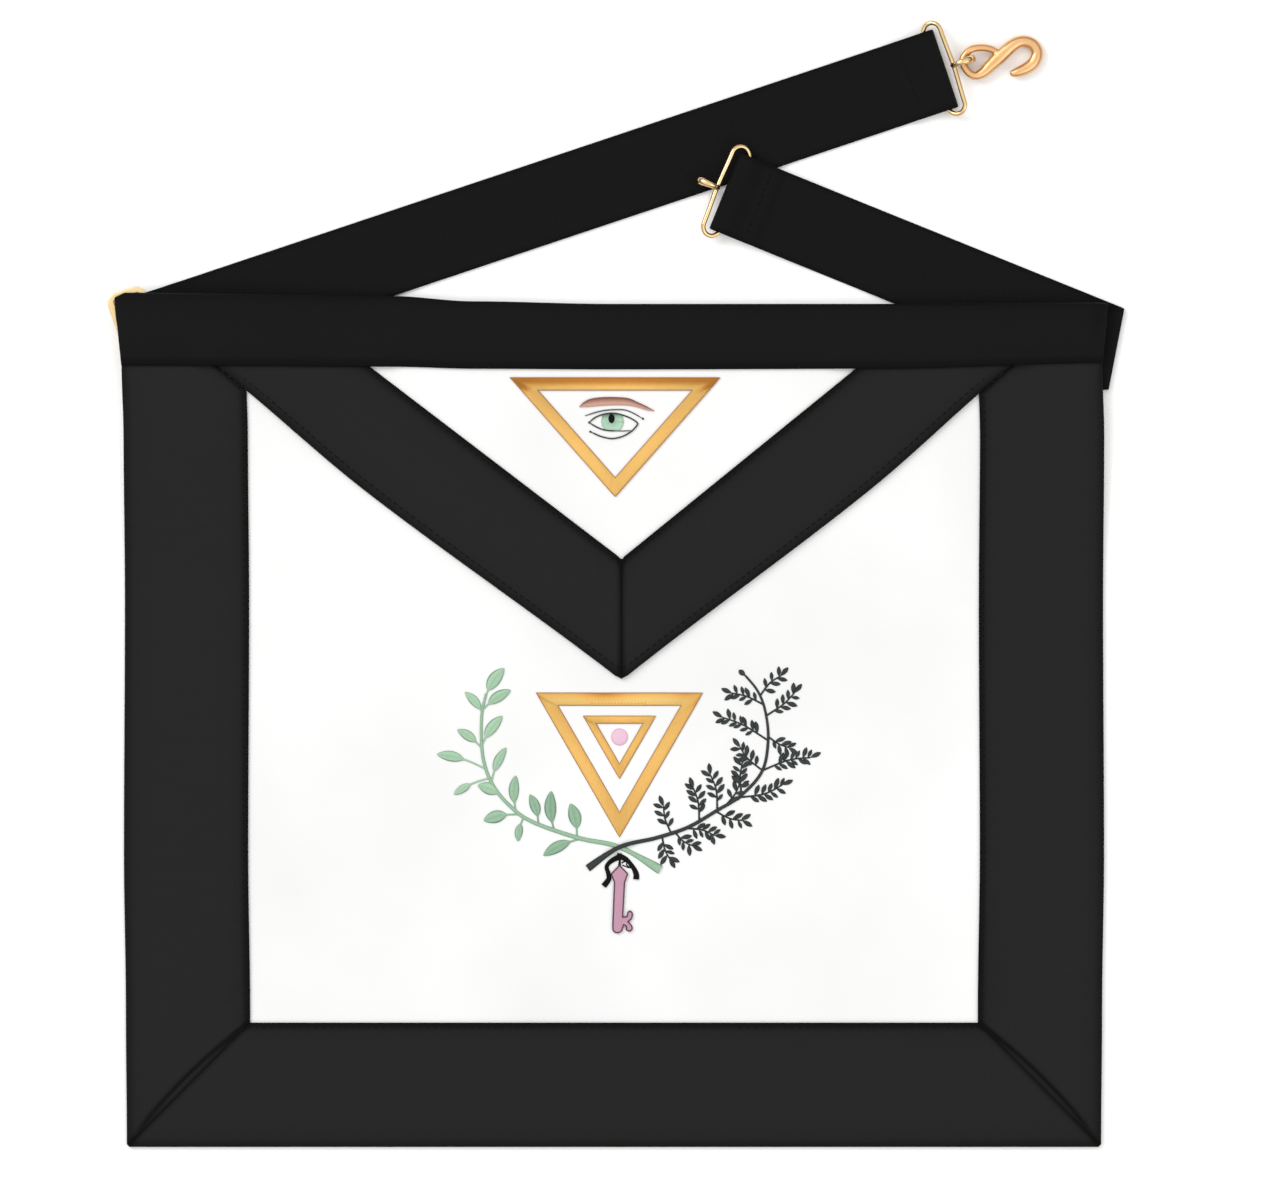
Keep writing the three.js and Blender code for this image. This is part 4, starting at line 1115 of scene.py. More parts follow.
def webbing(pile, profile, base, place):
    """A strip of webbing. place gives a point from (along, across, up); base lifts it by its place."""
    half = WEB_WIDTH / 2 - WEB_THICK / 2
    section = wall_section([(-m * half, 0) for m in ACROSS_MARKS], WEB_THICK)
    rings = []
    run = 0.0
    for i, (along, up) in enumerate(profile):
        before = profile[max(0, i - 1)]
        after = profile[min(len(profile) - 1, i + 1)]
        way = Vector((after[0] - before[0], after[1] - before[1])).normalized()
        run += math.dist(profile[i - 1], profile[i]) if i else 0.0
        ring = []
        for across, out in section:
            point = place(along - way.y * out, across, base(along) + up + way.x * out)
            # Painted shade: the webbing is drawn darker towards its rounded edges.
            tone = 0.5 * smooth((abs(across) - half + 2) / 2)
            ring.append(pile.add(*point, run, across, tone))
        rings.append(ring)
    pile.skin(rings)
    return run


def plan_frame(start, angle):
    """Places (along, across, up) of a belt that starts at a point and runs at an angle."""
    way = (math.cos(math.radians(angle)), math.sin(math.radians(angle)))

    def place(along, across, up):
        return start[0] + along * way[0] - across * way[1], start[1] + along * way[1] + across * way[0], up

    return place


def filled(profile):
    """The same line with its long stretches cut into shorter ones."""
    found = [profile[0]]
    for a, b in zip(profile, profile[1:]):
        count = max(1, round(math.dist(a, b) / LONGEST_STEP))
        found += [mix_point(a, b, t) for t in shares(count)[1:]]
    return found


print("a long stretch in short ones:", len(filled([(0, 0), (60, 0)])))

# %% Lay the long belt from the slider to the clasp ring
LEFT_LENGTH = 351
LEFT_ANGLE = 18.5
SLIDER_WIDTH = 16.5
SLIDER_BAR = 2.8
SLIDER_THICK = 1.6
SLIDER_UP = PLY + SLIDER_THICK / 2
slider_low, slider_high = box_of("belt_slider")
slider_centre = tuple((slider_low + slider_high) / 2)
left_place = plan_frame(slider_centre[:2], LEFT_ANGLE)


def long_belt():
    slider_end = loop_profile(SLIDER_BAR / 2, CLEAR * 1.5, SLIDER_UP,
                              SLIDER_WIDTH / 2 + SLIDER_BAR / 2 + CLEAR, SLIDER_WIDTH / 2 + LOOP_RETURN)
    mirrored = [(-along, up) for along, up in reversed(slider_end)]
    pile = Pile()
    length = webbing(pile, filled(mirrored + ring_loop(LEFT_LENGTH)), lambda along: 0, left_place)
    piece = make_piece("long_belt", pile, black_webbing, stands_for=["belt_left"])
    return length


print("webbing cut for the long belt:", round(long_belt()), "mm")

# %% Lay the short belt, folded over beside the waistband
RIGHT_LENGTH = 172.4
RIGHT_ANGLE = 22
RIGHT_TAIL = 58
BELT_CLIMB = 26
FOLD_EASE = 24
FOLD_RADIUS_WEB = PLY / 2
FOLD_TILT = math.radians(RIGHT_ANGLE / 2)
fold_at = (BODY_WIDTH / 2 + 4.3, TOP - 19.1)
right_place = plan_frame(fold_at, 180 - RIGHT_ANGLE)
CLIMB_START = RIGHT_LENGTH - LOOP_RETURN - 1.5 * BELT_CLIMB
FOLD_TURN = math.pi * FOLD_RADIUS_WEB / math.cos(FOLD_TILT)


def fold_over(beyond, up):
    """Distance beyond a fold line, and height, once the cloth is turned back over the line."""
    centre = WEB_THICK / 2 + FOLD_RADIUS_WEB
    reach = centre - up
    if beyond <= 0:
        return beyond, up
    if beyond >= math.pi * FOLD_RADIUS_WEB:
        return math.pi * FOLD_RADIUS_WEB - beyond, centre + reach
    angle = beyond / FOLD_RADIUS_WEB
    return reach * math.sin(angle), centre - reach * math.cos(angle)


def folded_place(along, across, up):
    away = max(0, along, -FOLD_TURN - along)
    shifted = along - math.tan(FOLD_TILT) * across * smooth(1 - away / FOLD_EASE)
    aside = shifted * math.sin(FOLD_TILT) - across * math.cos(FOLD_TILT)
    beyond = -shifted * math.cos(FOLD_TILT) - across * math.sin(FOLD_TILT)
    out, height = fold_over(beyond, up)
    plan_along = -out * math.cos(FOLD_TILT) + aside * math.sin(FOLD_TILT)
    plan_across = -out * math.sin(FOLD_TILT) - aside * math.cos(FOLD_TILT)
    return right_place(plan_along, plan_across, height)


def short_belt_climb(along):
    return PLY * smooth((along - CLIMB_START) / BELT_CLIMB)


def short_belt():
    lie = WEB_THICK / 2
    flat_stretches = [(-FOLD_TURN - RIGHT_TAIL, 1), (-FOLD_TURN - FOLD_EASE, 8), (-FOLD_TURN, 18), (0, 8),
                      (FOLD_EASE, 1), (CLIMB_START, 10), (CLIMB_START + BELT_CLIMB, 1)]
    profile = []
    for (start, steps), (stop, _) in zip(flat_stretches, flat_stretches[1:]):
        profile += [(mix(start, stop, t), lie) for t in shares(steps)[:-1]]
    profile += [(CLIMB_START + BELT_CLIMB, lie)] + ring_loop(RIGHT_LENGTH)
    pile = Pile()
    length = webbing(pile, filled(profile), short_belt_climb, folded_place)
    piece = make_piece("short_belt", pile, black_webbing, stands_for=["belt_right"])
    return length


print("webbing cut for the short belt:", round(short_belt()), "mm")

# %% [markdown]
# ## Gilt metal
#
# The rings are bright gilt wire and the hook is a smooth satin casting, a little pinker. Both are
# metal, so their colour is the colour of their reflections. Fine brushing and a faint cloudiness in
# the roughness keep them from looking like plastic.

# %% Gild the wire and the casting
def gilt_finish(name, pale, deep, smoothest, roughest, brush):
    finish, tree, shader = new_finish(name, Metallic=1.0)
    places = object_places(tree)
    cloud = grain(tree, places, 120, 3)
    tree.links.new(colours(tree, cloud, [(0.3, deep), (0.7, pale)]), shader.inputs["Base Color"])
    span = tree.nodes.new("ShaderNodeMapRange")
    span.inputs["To Min"].default_value = smoothest
    span.inputs["To Max"].default_value = roughest
    tree.links.new(grain(tree, places, 400, 4), span.inputs["Value"])
    tree.links.new(span.outputs["Result"], shader.inputs["Roughness"])
    raise_grain(tree, shader, [(grain(tree, places, 900, 3), brush)])
    return finish


gilt_wire = gilt_finish("bright_gilt_wire", (0.82, 0.61, 0.34), (0.72, 0.48, 0.22), 0.1, 0.22, 0.01)
gilt_cast = gilt_finish("satin_gilt_casting", (0.8, 0.49, 0.25), (0.72, 0.41, 0.18), 0.26, 0.4, 0.02)
gilt_plate = gilt_finish("soft_gilt_plate", (0.88, 0.68, 0.38), (0.83, 0.62, 0.31), 0.3, 0.42, 0.015)
print("finishes:", gilt_wire.name, gilt_cast.name, gilt_plate.name)

# %% [markdown]
# ## Rings, slider and hook
#
# A ring and its eye are soldered into one body, and so are the hook's thin loop and its thick limb.
# We sweep each as tubes that meet, then let Blender's voxel remesh fuse them into one skin and
# smooth it, which leaves the soft fillet that solder or a casting has at a joint.

# %% Sweep a tube in one plane
def tube(pile, points, sizes, up, sides=16, closed=False):
    """points carry an oval of (breadth, depth) each; up is the direction that depth is measured in."""
    up = Vector(up).normalized()
    count = len(points)
    rings = []
    run = 0.0
    for i, (point, (breadth, depth)) in enumerate(zip(points, sizes)):
        before = points[(i - 1) % count if closed else max(0, i - 1)]
        after = points[(i + 1) % count if closed else min(count - 1, i + 1)]
        across = up.cross(Vector(after) - Vector(before)).normalized()
        run += math.dist(points[i - 1], point) if i else 0.0
        ring = []
        for j in range(sides):
            angle = 2 * math.pi * (j + 0.5) / sides
            off = across * (breadth / 2 * math.cos(angle)) + up * (depth / 2 * math.sin(angle))
            ring.append(pile.add(*(Vector(point) + off), run, breadth * j / sides))
        rings.append(ring)
    pile.skin(rings, closed)


def round_ends(points, sizes, steps=4):
    """Adds domed ends to a tube's points and sizes."""
    def dome(tip, inside, size):
        way = (Vector(tip) - Vector(inside)).normalized()
        found = []
        for i in range(1, steps + 1):
            angle = math.pi / 2 * i / (steps + 0.35)
            where = Vector(tip) + way * (size[0] / 2 * math.sin(angle))
            found.append((tuple(where), (size[0] * math.cos(angle), size[1] * math.cos(angle))))
        return found

    start = dome(points[0], points[1], sizes[0])[::-1]
    end = dome(points[-1], points[-2], sizes[-1])
    run = start + list(zip(points, sizes)) + end
    return [p for p, _ in run], [s for _, s in run]


def fuse(name, pile, voxel, smoothing, finish, body, stands_for):
    """One smooth skin round all the tubes in the pile."""
    mesh = bpy.data.meshes.new(name + "_parts")
    mesh.from_pydata([tuple(v * MM for v in p) for p in pile.points], [], pile.faces)
    rough = bpy.data.objects.new(name + "_parts", mesh)
    bpy.context.scene.collection.objects.link(rough)
    skin = rough.modifiers.new("fuse", "REMESH")
    skin.mode = "VOXEL"
    skin.voxel_size = voxel * MM
    polish = rough.modifiers.new("polish", "SMOOTH")
    polish.iterations = smoothing
    graph = bpy.context.evaluated_depsgraph_get()
    fused = bpy.data.meshes.new_from_object(rough.evaluated_get(graph))
    fused.name = name
    bpy.data.objects.remove(rough)
    place_piece(fused, finish, body, stands_for)


RING_VOXEL = 0.22
HOOK_VOXEL = 0.25
print(f"a ring's wire is {RING_WIRE / RING_VOXEL:.0f} voxels thick")

# %% Bend the rings
RING_LENGTH = 41.5
RING_WIDTH = 9.9
EYE_HOLE = 7.2
EYE_BAND = 2.0
RING_BOW = 0.5
EYE_ROOT = 2.0
EYE_TIP = 3.2
EYE_RADIUS = EYE_HOLE / 2 + EYE_BAND
EYE_LINE = (EYE_HOLE + EYE_BAND) / 2
RING_SPAN = RING_WIDTH - RING_WIRE
RING_LIFT = EYE_RADIUS - RING_BAR_UP
RING_REACH = math.sqrt(RING_SPAN**2 - RING_LIFT**2)


def ring_points():
    """Middle line of the wire as (out, across) before it leans; the outer bar bows out to the eye."""
    straight = (RING_LENGTH - RING_WIRE - RING_SPAN) / 2
    found = []
    for side in (1, -1):
        for t in shares(16):
            angle = math.pi * (1 - t) if side > 0 else -math.pi * t
            out = RING_SPAN / 2 * (1 + math.cos(angle))
            found.append((out, side * straight + RING_SPAN / 2 * math.sin(angle)))
        if side > 0:
            for t in shares(24)[1:-1]:
                across = mix(straight, -straight, t)
                found.append((RING_SPAN + RING_BOW * smooth(1 - abs(across) / straight), across))
        else:
            found += [(0, mix(-straight, straight, t)) for t in shares(8)[1:-1]]
    return found


def belt_ring(name, place, length, base, stands_for):
    lean = math.atan2(RING_LIFT, RING_REACH)
    bar = length - RING_FOLD
    height = base + RING_BAR_UP

    def world(out, across, up=0.0):
        return place(bar + out, across, height + up)

    wire = [world(out * math.cos(lean), across, out * math.sin(lean)) for out, across in ring_points()]
    level = Vector(world(-math.sin(lean), 0, math.cos(lean))) - Vector(world(0, 0, 0))
    pile = Pile()
    tube(pile, wire, [(RING_WIRE, RING_WIRE)] * len(wire), level, 14, closed=True)
    eye = []
    sizes = []
    for t in shares(40)[1:]:
        angle = 2 * math.pi * t
        out = RING_REACH + EYE_LINE * (1 + math.cos(angle))
        eye.append(world(out, 0, RING_LIFT + EYE_LINE * math.sin(angle)))
        sizes.append((EYE_BAND, mix(EYE_ROOT, EYE_TIP, smooth(0.5 + 0.6 * math.cos(angle)))))
    sideways = Vector(world(0, 1)) - Vector(world(0, 0))
    tube(pile, eye, sizes, sideways, 16, closed=True)
    fuse(name, pile, RING_VOXEL, 3, gilt_wire, "apron", stands_for)


belt_ring("clasp_wire_ring", left_place, LEFT_LENGTH, 0, ["clasp_ring"])
belt_ring("catch_wire_ring", right_place, RIGHT_LENGTH, PLY, ["catch_ring"])

# %% Cut the slider
SLIDER_LENGTH = 41.7
SLIDER_CORNER = 4.5
SLIDER_SOFT = 0.35
SLOT_CORNER = 0.8


def rounded_box(length, width, radius):
    found = []
    for i, (sx, sy) in enumerate([(1, 1), (-1, 1), (-1, -1), (1, -1)]):
        for t in shares(8):
            angle = math.pi / 2 * (i + t)
            found.append((sx * (width / 2 - radius) + radius * math.cos(angle),
                          sy * (length / 2 - radius) + radius * math.sin(angle)))
    return found


def plate_curve(name, thickness, softness, inset=0.0):
    """A flat curve, still empty, that fills its outlines to a plate with soft rims."""
    curve = bpy.data.curves.new(name, "CURVE")
    curve.dimensions = "2D"
    curve.fill_mode = "BOTH"
    curve.extrude = (thickness / 2 - softness) * MM
    curve.bevel_depth = softness * MM
    curve.offset = -(softness + inset) * MM
    curve.bevel_resolution = 3
    return curve


def plate_mesh(name, curve, centre=(0, 0, 0), turn=0.0):
    """The curve's mesh, once it is moved to its centre and turned."""
    flat = bpy.data.objects.new(curve.name, curve)
    bpy.context.scene.collection.objects.link(flat)
    flat.location = Vector(centre) * MM
    flat.rotation_euler.z = turn
    bpy.context.view_layer.update()
    mesh = bpy.data.meshes.new_from_object(flat)
    mesh.transform(flat.matrix_world)
    mesh.name = name
    bpy.data.objects.remove(flat)
    return mesh


def belt_slider():
    """A filled flat curve with two slots; its bevel gives the plate its soft edges."""
    slot = (SLIDER_WIDTH - 3 * SLIDER_BAR) / 2
    window = rounded_box(SLIDER_LENGTH - 2 * SLIDER_BAR, slot, SLOT_CORNER)
    outlines = [rounded_box(SLIDER_LENGTH, SLIDER_WIDTH, SLIDER_CORNER)]
    outlines += [[(x + side * (SLIDER_BAR + slot) / 2, y) for x, y in window] for side in (-1, 1)]
    curve = plate_curve("slider_curve", SLIDER_THICK, SLIDER_SOFT)
    for outline in outlines:
        path = curve.splines.new("POLY")
        path.points.add(len(outline) - 1)
        for point, (x, y) in zip(path.points, outline):
            point.co = (x * MM, y * MM, 0, 1)
        path.use_cyclic_u = True
    mesh = plate_mesh("gilt_slider", curve, (*slider_centre[:2], SLIDER_UP), math.radians(LEFT_ANGLE))
    place_piece(mesh, gilt_plate, "apron", ["belt_slider"])


belt_slider()

# %% Cast the snake hook
HOOK_LENGTH = 35.3
HOOK_DEPTH = 4.4
HOOK_WAY = [
    dict(along=0.42, aside=0.1, breadth=0.6, depth=0.6),
    dict(along=0.34, aside=0.15, breadth=0.68, depth=0.68),
    dict(along=0.23, aside=0.17, breadth=0.7, depth=0.7),
    dict(along=0.11, aside=0.155, breadth=0.7, depth=0.7),
    dict(along=0.025, aside=0.085, breadth=0.7, depth=0.7),
    dict(along=0.0, aside=0.0, breadth=0.72, depth=0.7),
    dict(along=0.055, aside=-0.11, breadth=0.72, depth=0.7),
    dict(along=0.145, aside=-0.16, breadth=0.82, depth=0.78),
    dict(along=0.24, aside=-0.12, breadth=1.02, depth=0.92),
    dict(along=0.335, aside=-0.03, breadth=1.2, depth=1.0),
    dict(along=0.44, aside=0.07, breadth=1.3, depth=1.0),
    dict(along=0.545, aside=0.165, breadth=1.22, depth=1.0),
    dict(along=0.64, aside=0.23, breadth=1.14, depth=1.0),
    dict(along=0.735, aside=0.245, breadth=1.12, depth=1.0),
    dict(along=0.83, aside=0.205, breadth=1.14, depth=1.0),
    dict(along=0.875, aside=0.11, breadth=1.14, depth=1.0),
    dict(along=0.84, aside=0.005, breadth=1.15, depth=1.0),
    dict(along=0.76, aside=-0.065, breadth=1.12, depth=1.0),
    dict(along=0.65, aside=-0.115, breadth=0.95, depth=0.9),
    dict(along=0.6, aside=-0.13, breadth=0.75, depth=0.75),
]


def snake_hook():
    pivot = Vector(frame["joints"][0]["pos_m"]) / MM
    reach = max(row["along"] for row in HOOK_WAY) * HOOK_LENGTH
    fall = (pivot.z - HOOK_DEPTH / 2) / reach

    def world(along, aside):
        x = along * HOOK_LENGTH
        return pivot.x + x, pivot.y + aside * HOOK_LENGTH, pivot.z - fall * x

    pile = Pile()
    rows = spline([tuple(row.values()) for row in HOOK_WAY], 130)
    body = [world(along, aside) for along, aside, _, _ in rows]
    sizes = [(breadth * HOOK_DEPTH, depth * HOOK_DEPTH) for _, _, breadth, depth in rows]
    tube(pile, *round_ends(body, sizes), (0, 0, 1), 20)
    fuse("cast_snake_hook", pile, HOOK_VOXEL, 4, gilt_cast, "hook", ["snake_hook"])


snake_hook()

# %% [markdown]
# ## Satin stitch
#
# The emblems are embroidered: short threads laid side by side across a shape, so it stands up a
# little and shines in bars. A thread finish therefore needs fine ribs across the shape, a colour
# that changes a little from thread to thread, and the tone from the mesh for shaded motifs.

# %% Spin the threads
THREAD_PITCH = 0.38


def thread_finish(name, stops, gloss=1.0):
    finish, tree, shader = new_finish(name, Roughness=0.5, Specular_IOR_Level=0.3 * gloss,
                                      Sheen_Weight=0.15 * gloss, Sheen_Roughness=0.35)
    threads = thread_places(tree)
    single = grain(tree, stretched(tree, threads, (2.2, 0.12, 1)), 1.0, 2)
    amount = sum_of(tree, tone_of(tree), single, 0.22)
    tree.links.new(colours(tree, amount, stops), shader.inputs["Base Color"])
    raise_grain(tree, shader, [(bands(tree, threads, THREAD_PITCH, "X", 0.6), 0.09)])
    return finish


gold_thread = thread_finish("gold_thread", [(0.0, (0.92, 0.66, 0.22)), (0.5, (0.8, 0.41, 0.1)),
                                            (1.0, (0.46, 0.17, 0.02))], 0.6)
brown_thread = thread_finish("brow_thread", [(0.0, (0.72, 0.42, 0.32)), (1.0, (0.17, 0.055, 0.035))])
outline_thread = thread_finish("outline_thread", [(0.0, (0.42, 0.2, 0.07)), (1.0, (0.2, 0.1, 0.04))])
line_thread = thread_finish("eye_line_thread", [(0.0, (0.09, 0.1, 0.1)), (1.0, (0.01, 0.01, 0.01))], 0.5)
iris_thread = thread_finish("iris_thread", [(0.0, (0.5, 0.74, 0.56)), (1.0, (0.05, 0.12, 0.07))])
black_thread = thread_finish("black_thread",
                             [(0.0, (0.006, 0.006, 0.006)), (1.0, (0.003, 0.003, 0.003))], 0.25)
green_thread = thread_finish("laurel_thread", [(0.0, (0.45, 0.67, 0.47)), (0.5, (0.27, 0.45, 0.3)),
                                               (1.0, (0.14, 0.24, 0.17))])
olive_thread = thread_finish("olive_thread", [(0.0, (0.05, 0.062, 0.06)), (1.0, (0.009, 0.012, 0.012))], 0.5)
pink_thread = thread_finish("key_thread", [(0.0, (0.56, 0.31, 0.42)), (1.0, (0.3, 0.13, 0.2))])
pale_pink_thread = thread_finish("pale_pink_thread", [(0.0, (0.87, 0.6, 0.73)), (1.0, (0.6, 0.3, 0.45))])
print("thread finishes:", sum(m.name.endswith("thread") for m in bpy.data.materials))

# %% Sections and strips of satin stitch
STITCH_RELIEF = 0.8
STITCH_RIM = 0.12
SINK = 0.35
CROWN_STEPS = 8


def satin_section(width, base, crown=STITCH_RELIEF):
    """Flat foot and crowned top, which is lower on a narrow strip."""
    rise = min(crown, 0.9 * width / 2)
    places = [math.cos(math.pi * t) for t in shares(CROWN_STEPS)]
    top = [((1 - a) / 2, base + STITCH_RIM + rise * math.sqrt(max(0, 1 - a * a)) ** 0.8) for a in places]
    foot = [((1 - a) / 2, base - SINK) for a in places]
    return top + foot[::-1]


def satin(pile, pairs, base, crown=STITCH_RELIEF, shade=None, closed=False):
    """Satin stitch between pairs of plan points. shade gives the tone by (share across, x, y)."""
    def relief(x, y, share):
        return 0.0, shade(share, x, y) if shade else 0.0

    sections = [satin_section(math.dist(*pair), base, crown) for pair in pairs]
    lay(pile, pairs, sections, relief, closed)


def beside(points, widths):
    """Pairs of points on both sides of a run of plan points."""
    pairs = []
    for i, (x, y) in enumerate(points):
        before = points[max(0, i - 1)]
        after = points[min(len(points) - 1, i + 1)]
        run = math.dist(before, after)
        side = (-(after[1] - before[1]) / run, (after[0] - before[0]) / run)
        half = widths[i] / 2
        pairs.append(((x + side[0] * half, y + side[1] * half), (x - side[0] * half, y - side[1] * half)))
    return pairs


def cord(pile, points, thickness, level):
    """A thin couched thread over plan points, half sunk in the cloth."""
    places = [(x, y, lie_height(x, y) + level) for x, y in points]
    tube(pile, *round_ends(places, [(thickness, thickness)] * len(places), 2), (0, 0, 1), 8)


print("a stem's section has", len(satin_section(2, 0)), "points")

# %% [markdown]
# ## The gold triangles
#
# A triangle is one closed strip with a mitre at each corner: three bars of satin stitch with a thin
# brown cord couched along both borders. The upper one shades from a deep orange top to a pale
# lower edge, and the lower one is yellower along its top bar.

# %% Stitch the triangles
FLAP_MOTIF = ON_FLAP - 0.05
PANEL_MOTIF = PANEL_THICK
OUTLINE = 0.45


def triangle_of(node):
    """Middle of the top edge, width and height of a triangle's box."""
    low, high = box_of(node)
    return (low.x + high.x) / 2, high.y, high.x - low.x, high.y - low.y


def triangle_pairs(x, y, width, height, bar, steps):
    side = math.hypot(width / 2, height)
    inradius = width * height / (width + 2 * side)
    corners = [(x - width / 2, y), (x + width / 2, y), (x, y - height)]
    centre = (x, y - inradius)
    inner = [mix_point(centre, corner, 1 - bar / inradius) for corner in corners]
    pairs = []
    for i in range(3):
        k = (i + 1) % 3
        for t in shares(steps)[:-1]:
            pairs.append((mix_point(corners[i], corners[k], t), mix_point(inner[i], inner[k], t)))
    return pairs


def gold_triangle(name, node, bar, base, shade, steps):
    pairs = triangle_pairs(*triangle_of(node), bar, steps)
    pile = Pile()
    satin(pile, pairs, base, shade=shade, closed=True)
    make_piece(name, pile, gold_thread, stands_for=[node])
    borders = Pile()
    for k in (0, 1):
        run = [pair[k] for pair in pairs]
        cord(borders, run + run[:1], OUTLINE, base + 0.2)
    make_piece(f"{name}_outline", borders, outline_thread)


BAR = 5.1
SMALL_BAR = 3.0
DOTS = 17
upper_top = triangle_of("upper_triangle")[1]
lower_top = triangle_of("lower_triangle")[1]


def upper_shade(share, x, y):
    in_top_bar = smooth((y - upper_top + BAR + 0.8) / 1.2)
    return mix(0.22, mix(0.85, 0.02, smooth((share - 0.25) / 0.7)), in_top_bar)


def lower_shade(share, x, y):
    in_top_bar = smooth((y - lower_top + BAR + 0.8) / 1.2)
    patch = 0.5 * bump(x + 4, 9) + 0.25 * bump(x - 30, 5)
    return mix(0.24, 0.05 + 0.3 * bump(share, 0.3) + patch * (1 - share), in_top_bar)


def dotted_row():
    """Small brown stitches just inside the top bar of the lower triangle."""
    x, y, width, _ = triangle_of("lower_triangle")
    pile = Pile()
    level = y - BAR + 0.9
    for start in range(DOTS):
        at = x + mix(-0.17, 0.17, start / DOTS) * width
        cord(pile, [(at, level), (at + 0.55, level)], 0.4, PANEL_MOTIF + STITCH_RELIEF * 0.75)
    make_piece("dotted_row", pile, outline_thread)


gold_triangle("upper_gold_triangle", "upper_triangle", BAR, FLAP_MOTIF, upper_shade, 30)
gold_triangle("lower_gold_triangle", "lower_triangle", BAR, PANEL_MOTIF, lower_shade, 30)
gold_triangle("inner_gold_triangle", "inner_triangle", SMALL_BAR, PANEL_MOTIF, lambda s, x, y: 0.25, 14)
dotted_row()

# %% [markdown]
# ## The eye
#
# Inside the upper triangle is the old emblem of an open eye. The brow is satin stitch that shades
# from dark above to pale below. The iris is a low dome that the two lids cut off above and below,
# with the pupil on it, and the lids and creases are lines of dark thread.

# %% Stitch the brow
iris_low, iris_high = box_of("eye_iris")
eye_at = ((iris_low.x + iris_high.x) / 2, (iris_low.y + iris_high.y) / 2)
BROW = [
    dict(x=-14.9, top=6.2, bottom=6.0),
    dict(x=-13.4, top=7.9, bottom=6.1),
    dict(x=-10.5, top=9.5, bottom=6.2),
    dict(x=-6.1, top=10.2, bottom=6.6),
    dict(x=0.2, top=10.3, bottom=6.9),
    dict(x=5.6, top=9.8, bottom=6.7),
    dict(x=9.8, top=8.0, bottom=5.8),
    dict(x=13.0, top=6.5, bottom=4.8),
    dict(x=16.2, top=4.7, bottom=4.4),
]


def at_eye(x, y):
    return eye_at[0] + x, eye_at[1] + y


def stitch_brow():
    rows = spline([tuple(row.values()) for row in BROW], 64)
    pairs = [(at_eye(x, top), at_eye(x, bottom)) for x, top, bottom in rows]
    pile = Pile()
    satin(pile, pairs, FLAP_MOTIF, crown=0.7, shade=lambda share, x, y: 0.85 - 0.85 * smooth(share * 1.1))
    make_piece("brow", pile, brown_thread, stands_for=["eye_brow"])


stitch_brow()

# %% Stitch the iris and the pupil
IRIS_AT = (-1.1, 0.2)
IRIS_RADIUS = 4.7
UPPER_LID_AT = 2.95
LOWER_LID_AT = 3.75
PUPIL_AT = (-1.5, 1.3)
PUPIL_SIZE = (1.35, 1.95)
DOME_SPOKES = 56
DOME_RINGS = 9


def dome(pile, centre, reach, base, crown, shade, rays=False):
    """A low dome of side-by-side threads, or of threads laid like rays. reach gives its radius by angle."""
    rows = []
    for r in range(DOME_RINGS + 1):
        row = []
        for s in range(DOME_SPOKES):
            angle = 2 * math.pi * s / DOME_SPOKES
            share = max(0.02, r / DOME_RINGS)
            out = reach(angle) * share
            x, y = centre[0] + out * math.cos(angle), centre[1] + out * math.sin(angle)
            top = base + 0.1 + crown * math.sqrt(max(0.0, 1 - share**2))
            thread = (s * 0.4, share) if rays else (x, y)
            row.append(pile.add(x, y, lie_height(x, y) + top, *thread, shade(x, y, share, angle)))
        rows.append(row)
    foot = []
    for i in rows[-1]:
        x, y, z = pile.points[i]
        foot.append(pile.add(x, y, lie_height(x, y) + base - SINK, *pile.thread[i], pile.tones[i]))
    rows.append(foot)
    for near, far in zip(rows, rows[1:]):
        for s in range(DOME_SPOKES):
            k = (s + 1) % DOME_SPOKES
            pile.faces.append((near[s], near[k], far[k], far[s]))
    pile.faces.append(tuple(rows[0]))
    pile.faces.append(tuple(reversed(foot)))


def iris_reach(angle):
    up = math.sin(angle)
    lid = UPPER_LID_AT / up if up > 0.01 else LOWER_LID_AT / max(0.01, -up)
    return min(IRIS_RADIUS, lid)


def iris_shade(x, y, share, angle):
    under_lid = smooth((y - at_eye(*IRIS_AT)[1] - 0.4) / 2.4)
    rim = smooth((share - 0.8) / 0.2)
    left = smooth(-(x - at_eye(*IRIS_AT)[0]) / 3)
    return min(1, 0.55 * under_lid + 0.15 * rim + 0.12 * left)


def stitch_iris():
    iris = Pile()
    dome(iris, at_eye(*IRIS_AT), iris_reach, FLAP_MOTIF, 0.5, iris_shade, rays=True)
    make_piece("iris", iris, iris_thread, stands_for=["eye_iris"])
    pupil = Pile()

    def reach(angle):
        return 1 / math.hypot(math.cos(angle) / PUPIL_SIZE[0], math.sin(angle) / PUPIL_SIZE[1])

    dome(pupil, at_eye(*PUPIL_AT), reach, FLAP_MOTIF + 0.45, 0.3, lambda *place: 0.0)
    make_piece("pupil", pupil, black_thread, stands_for=["eye_pupil"])


stitch_iris()

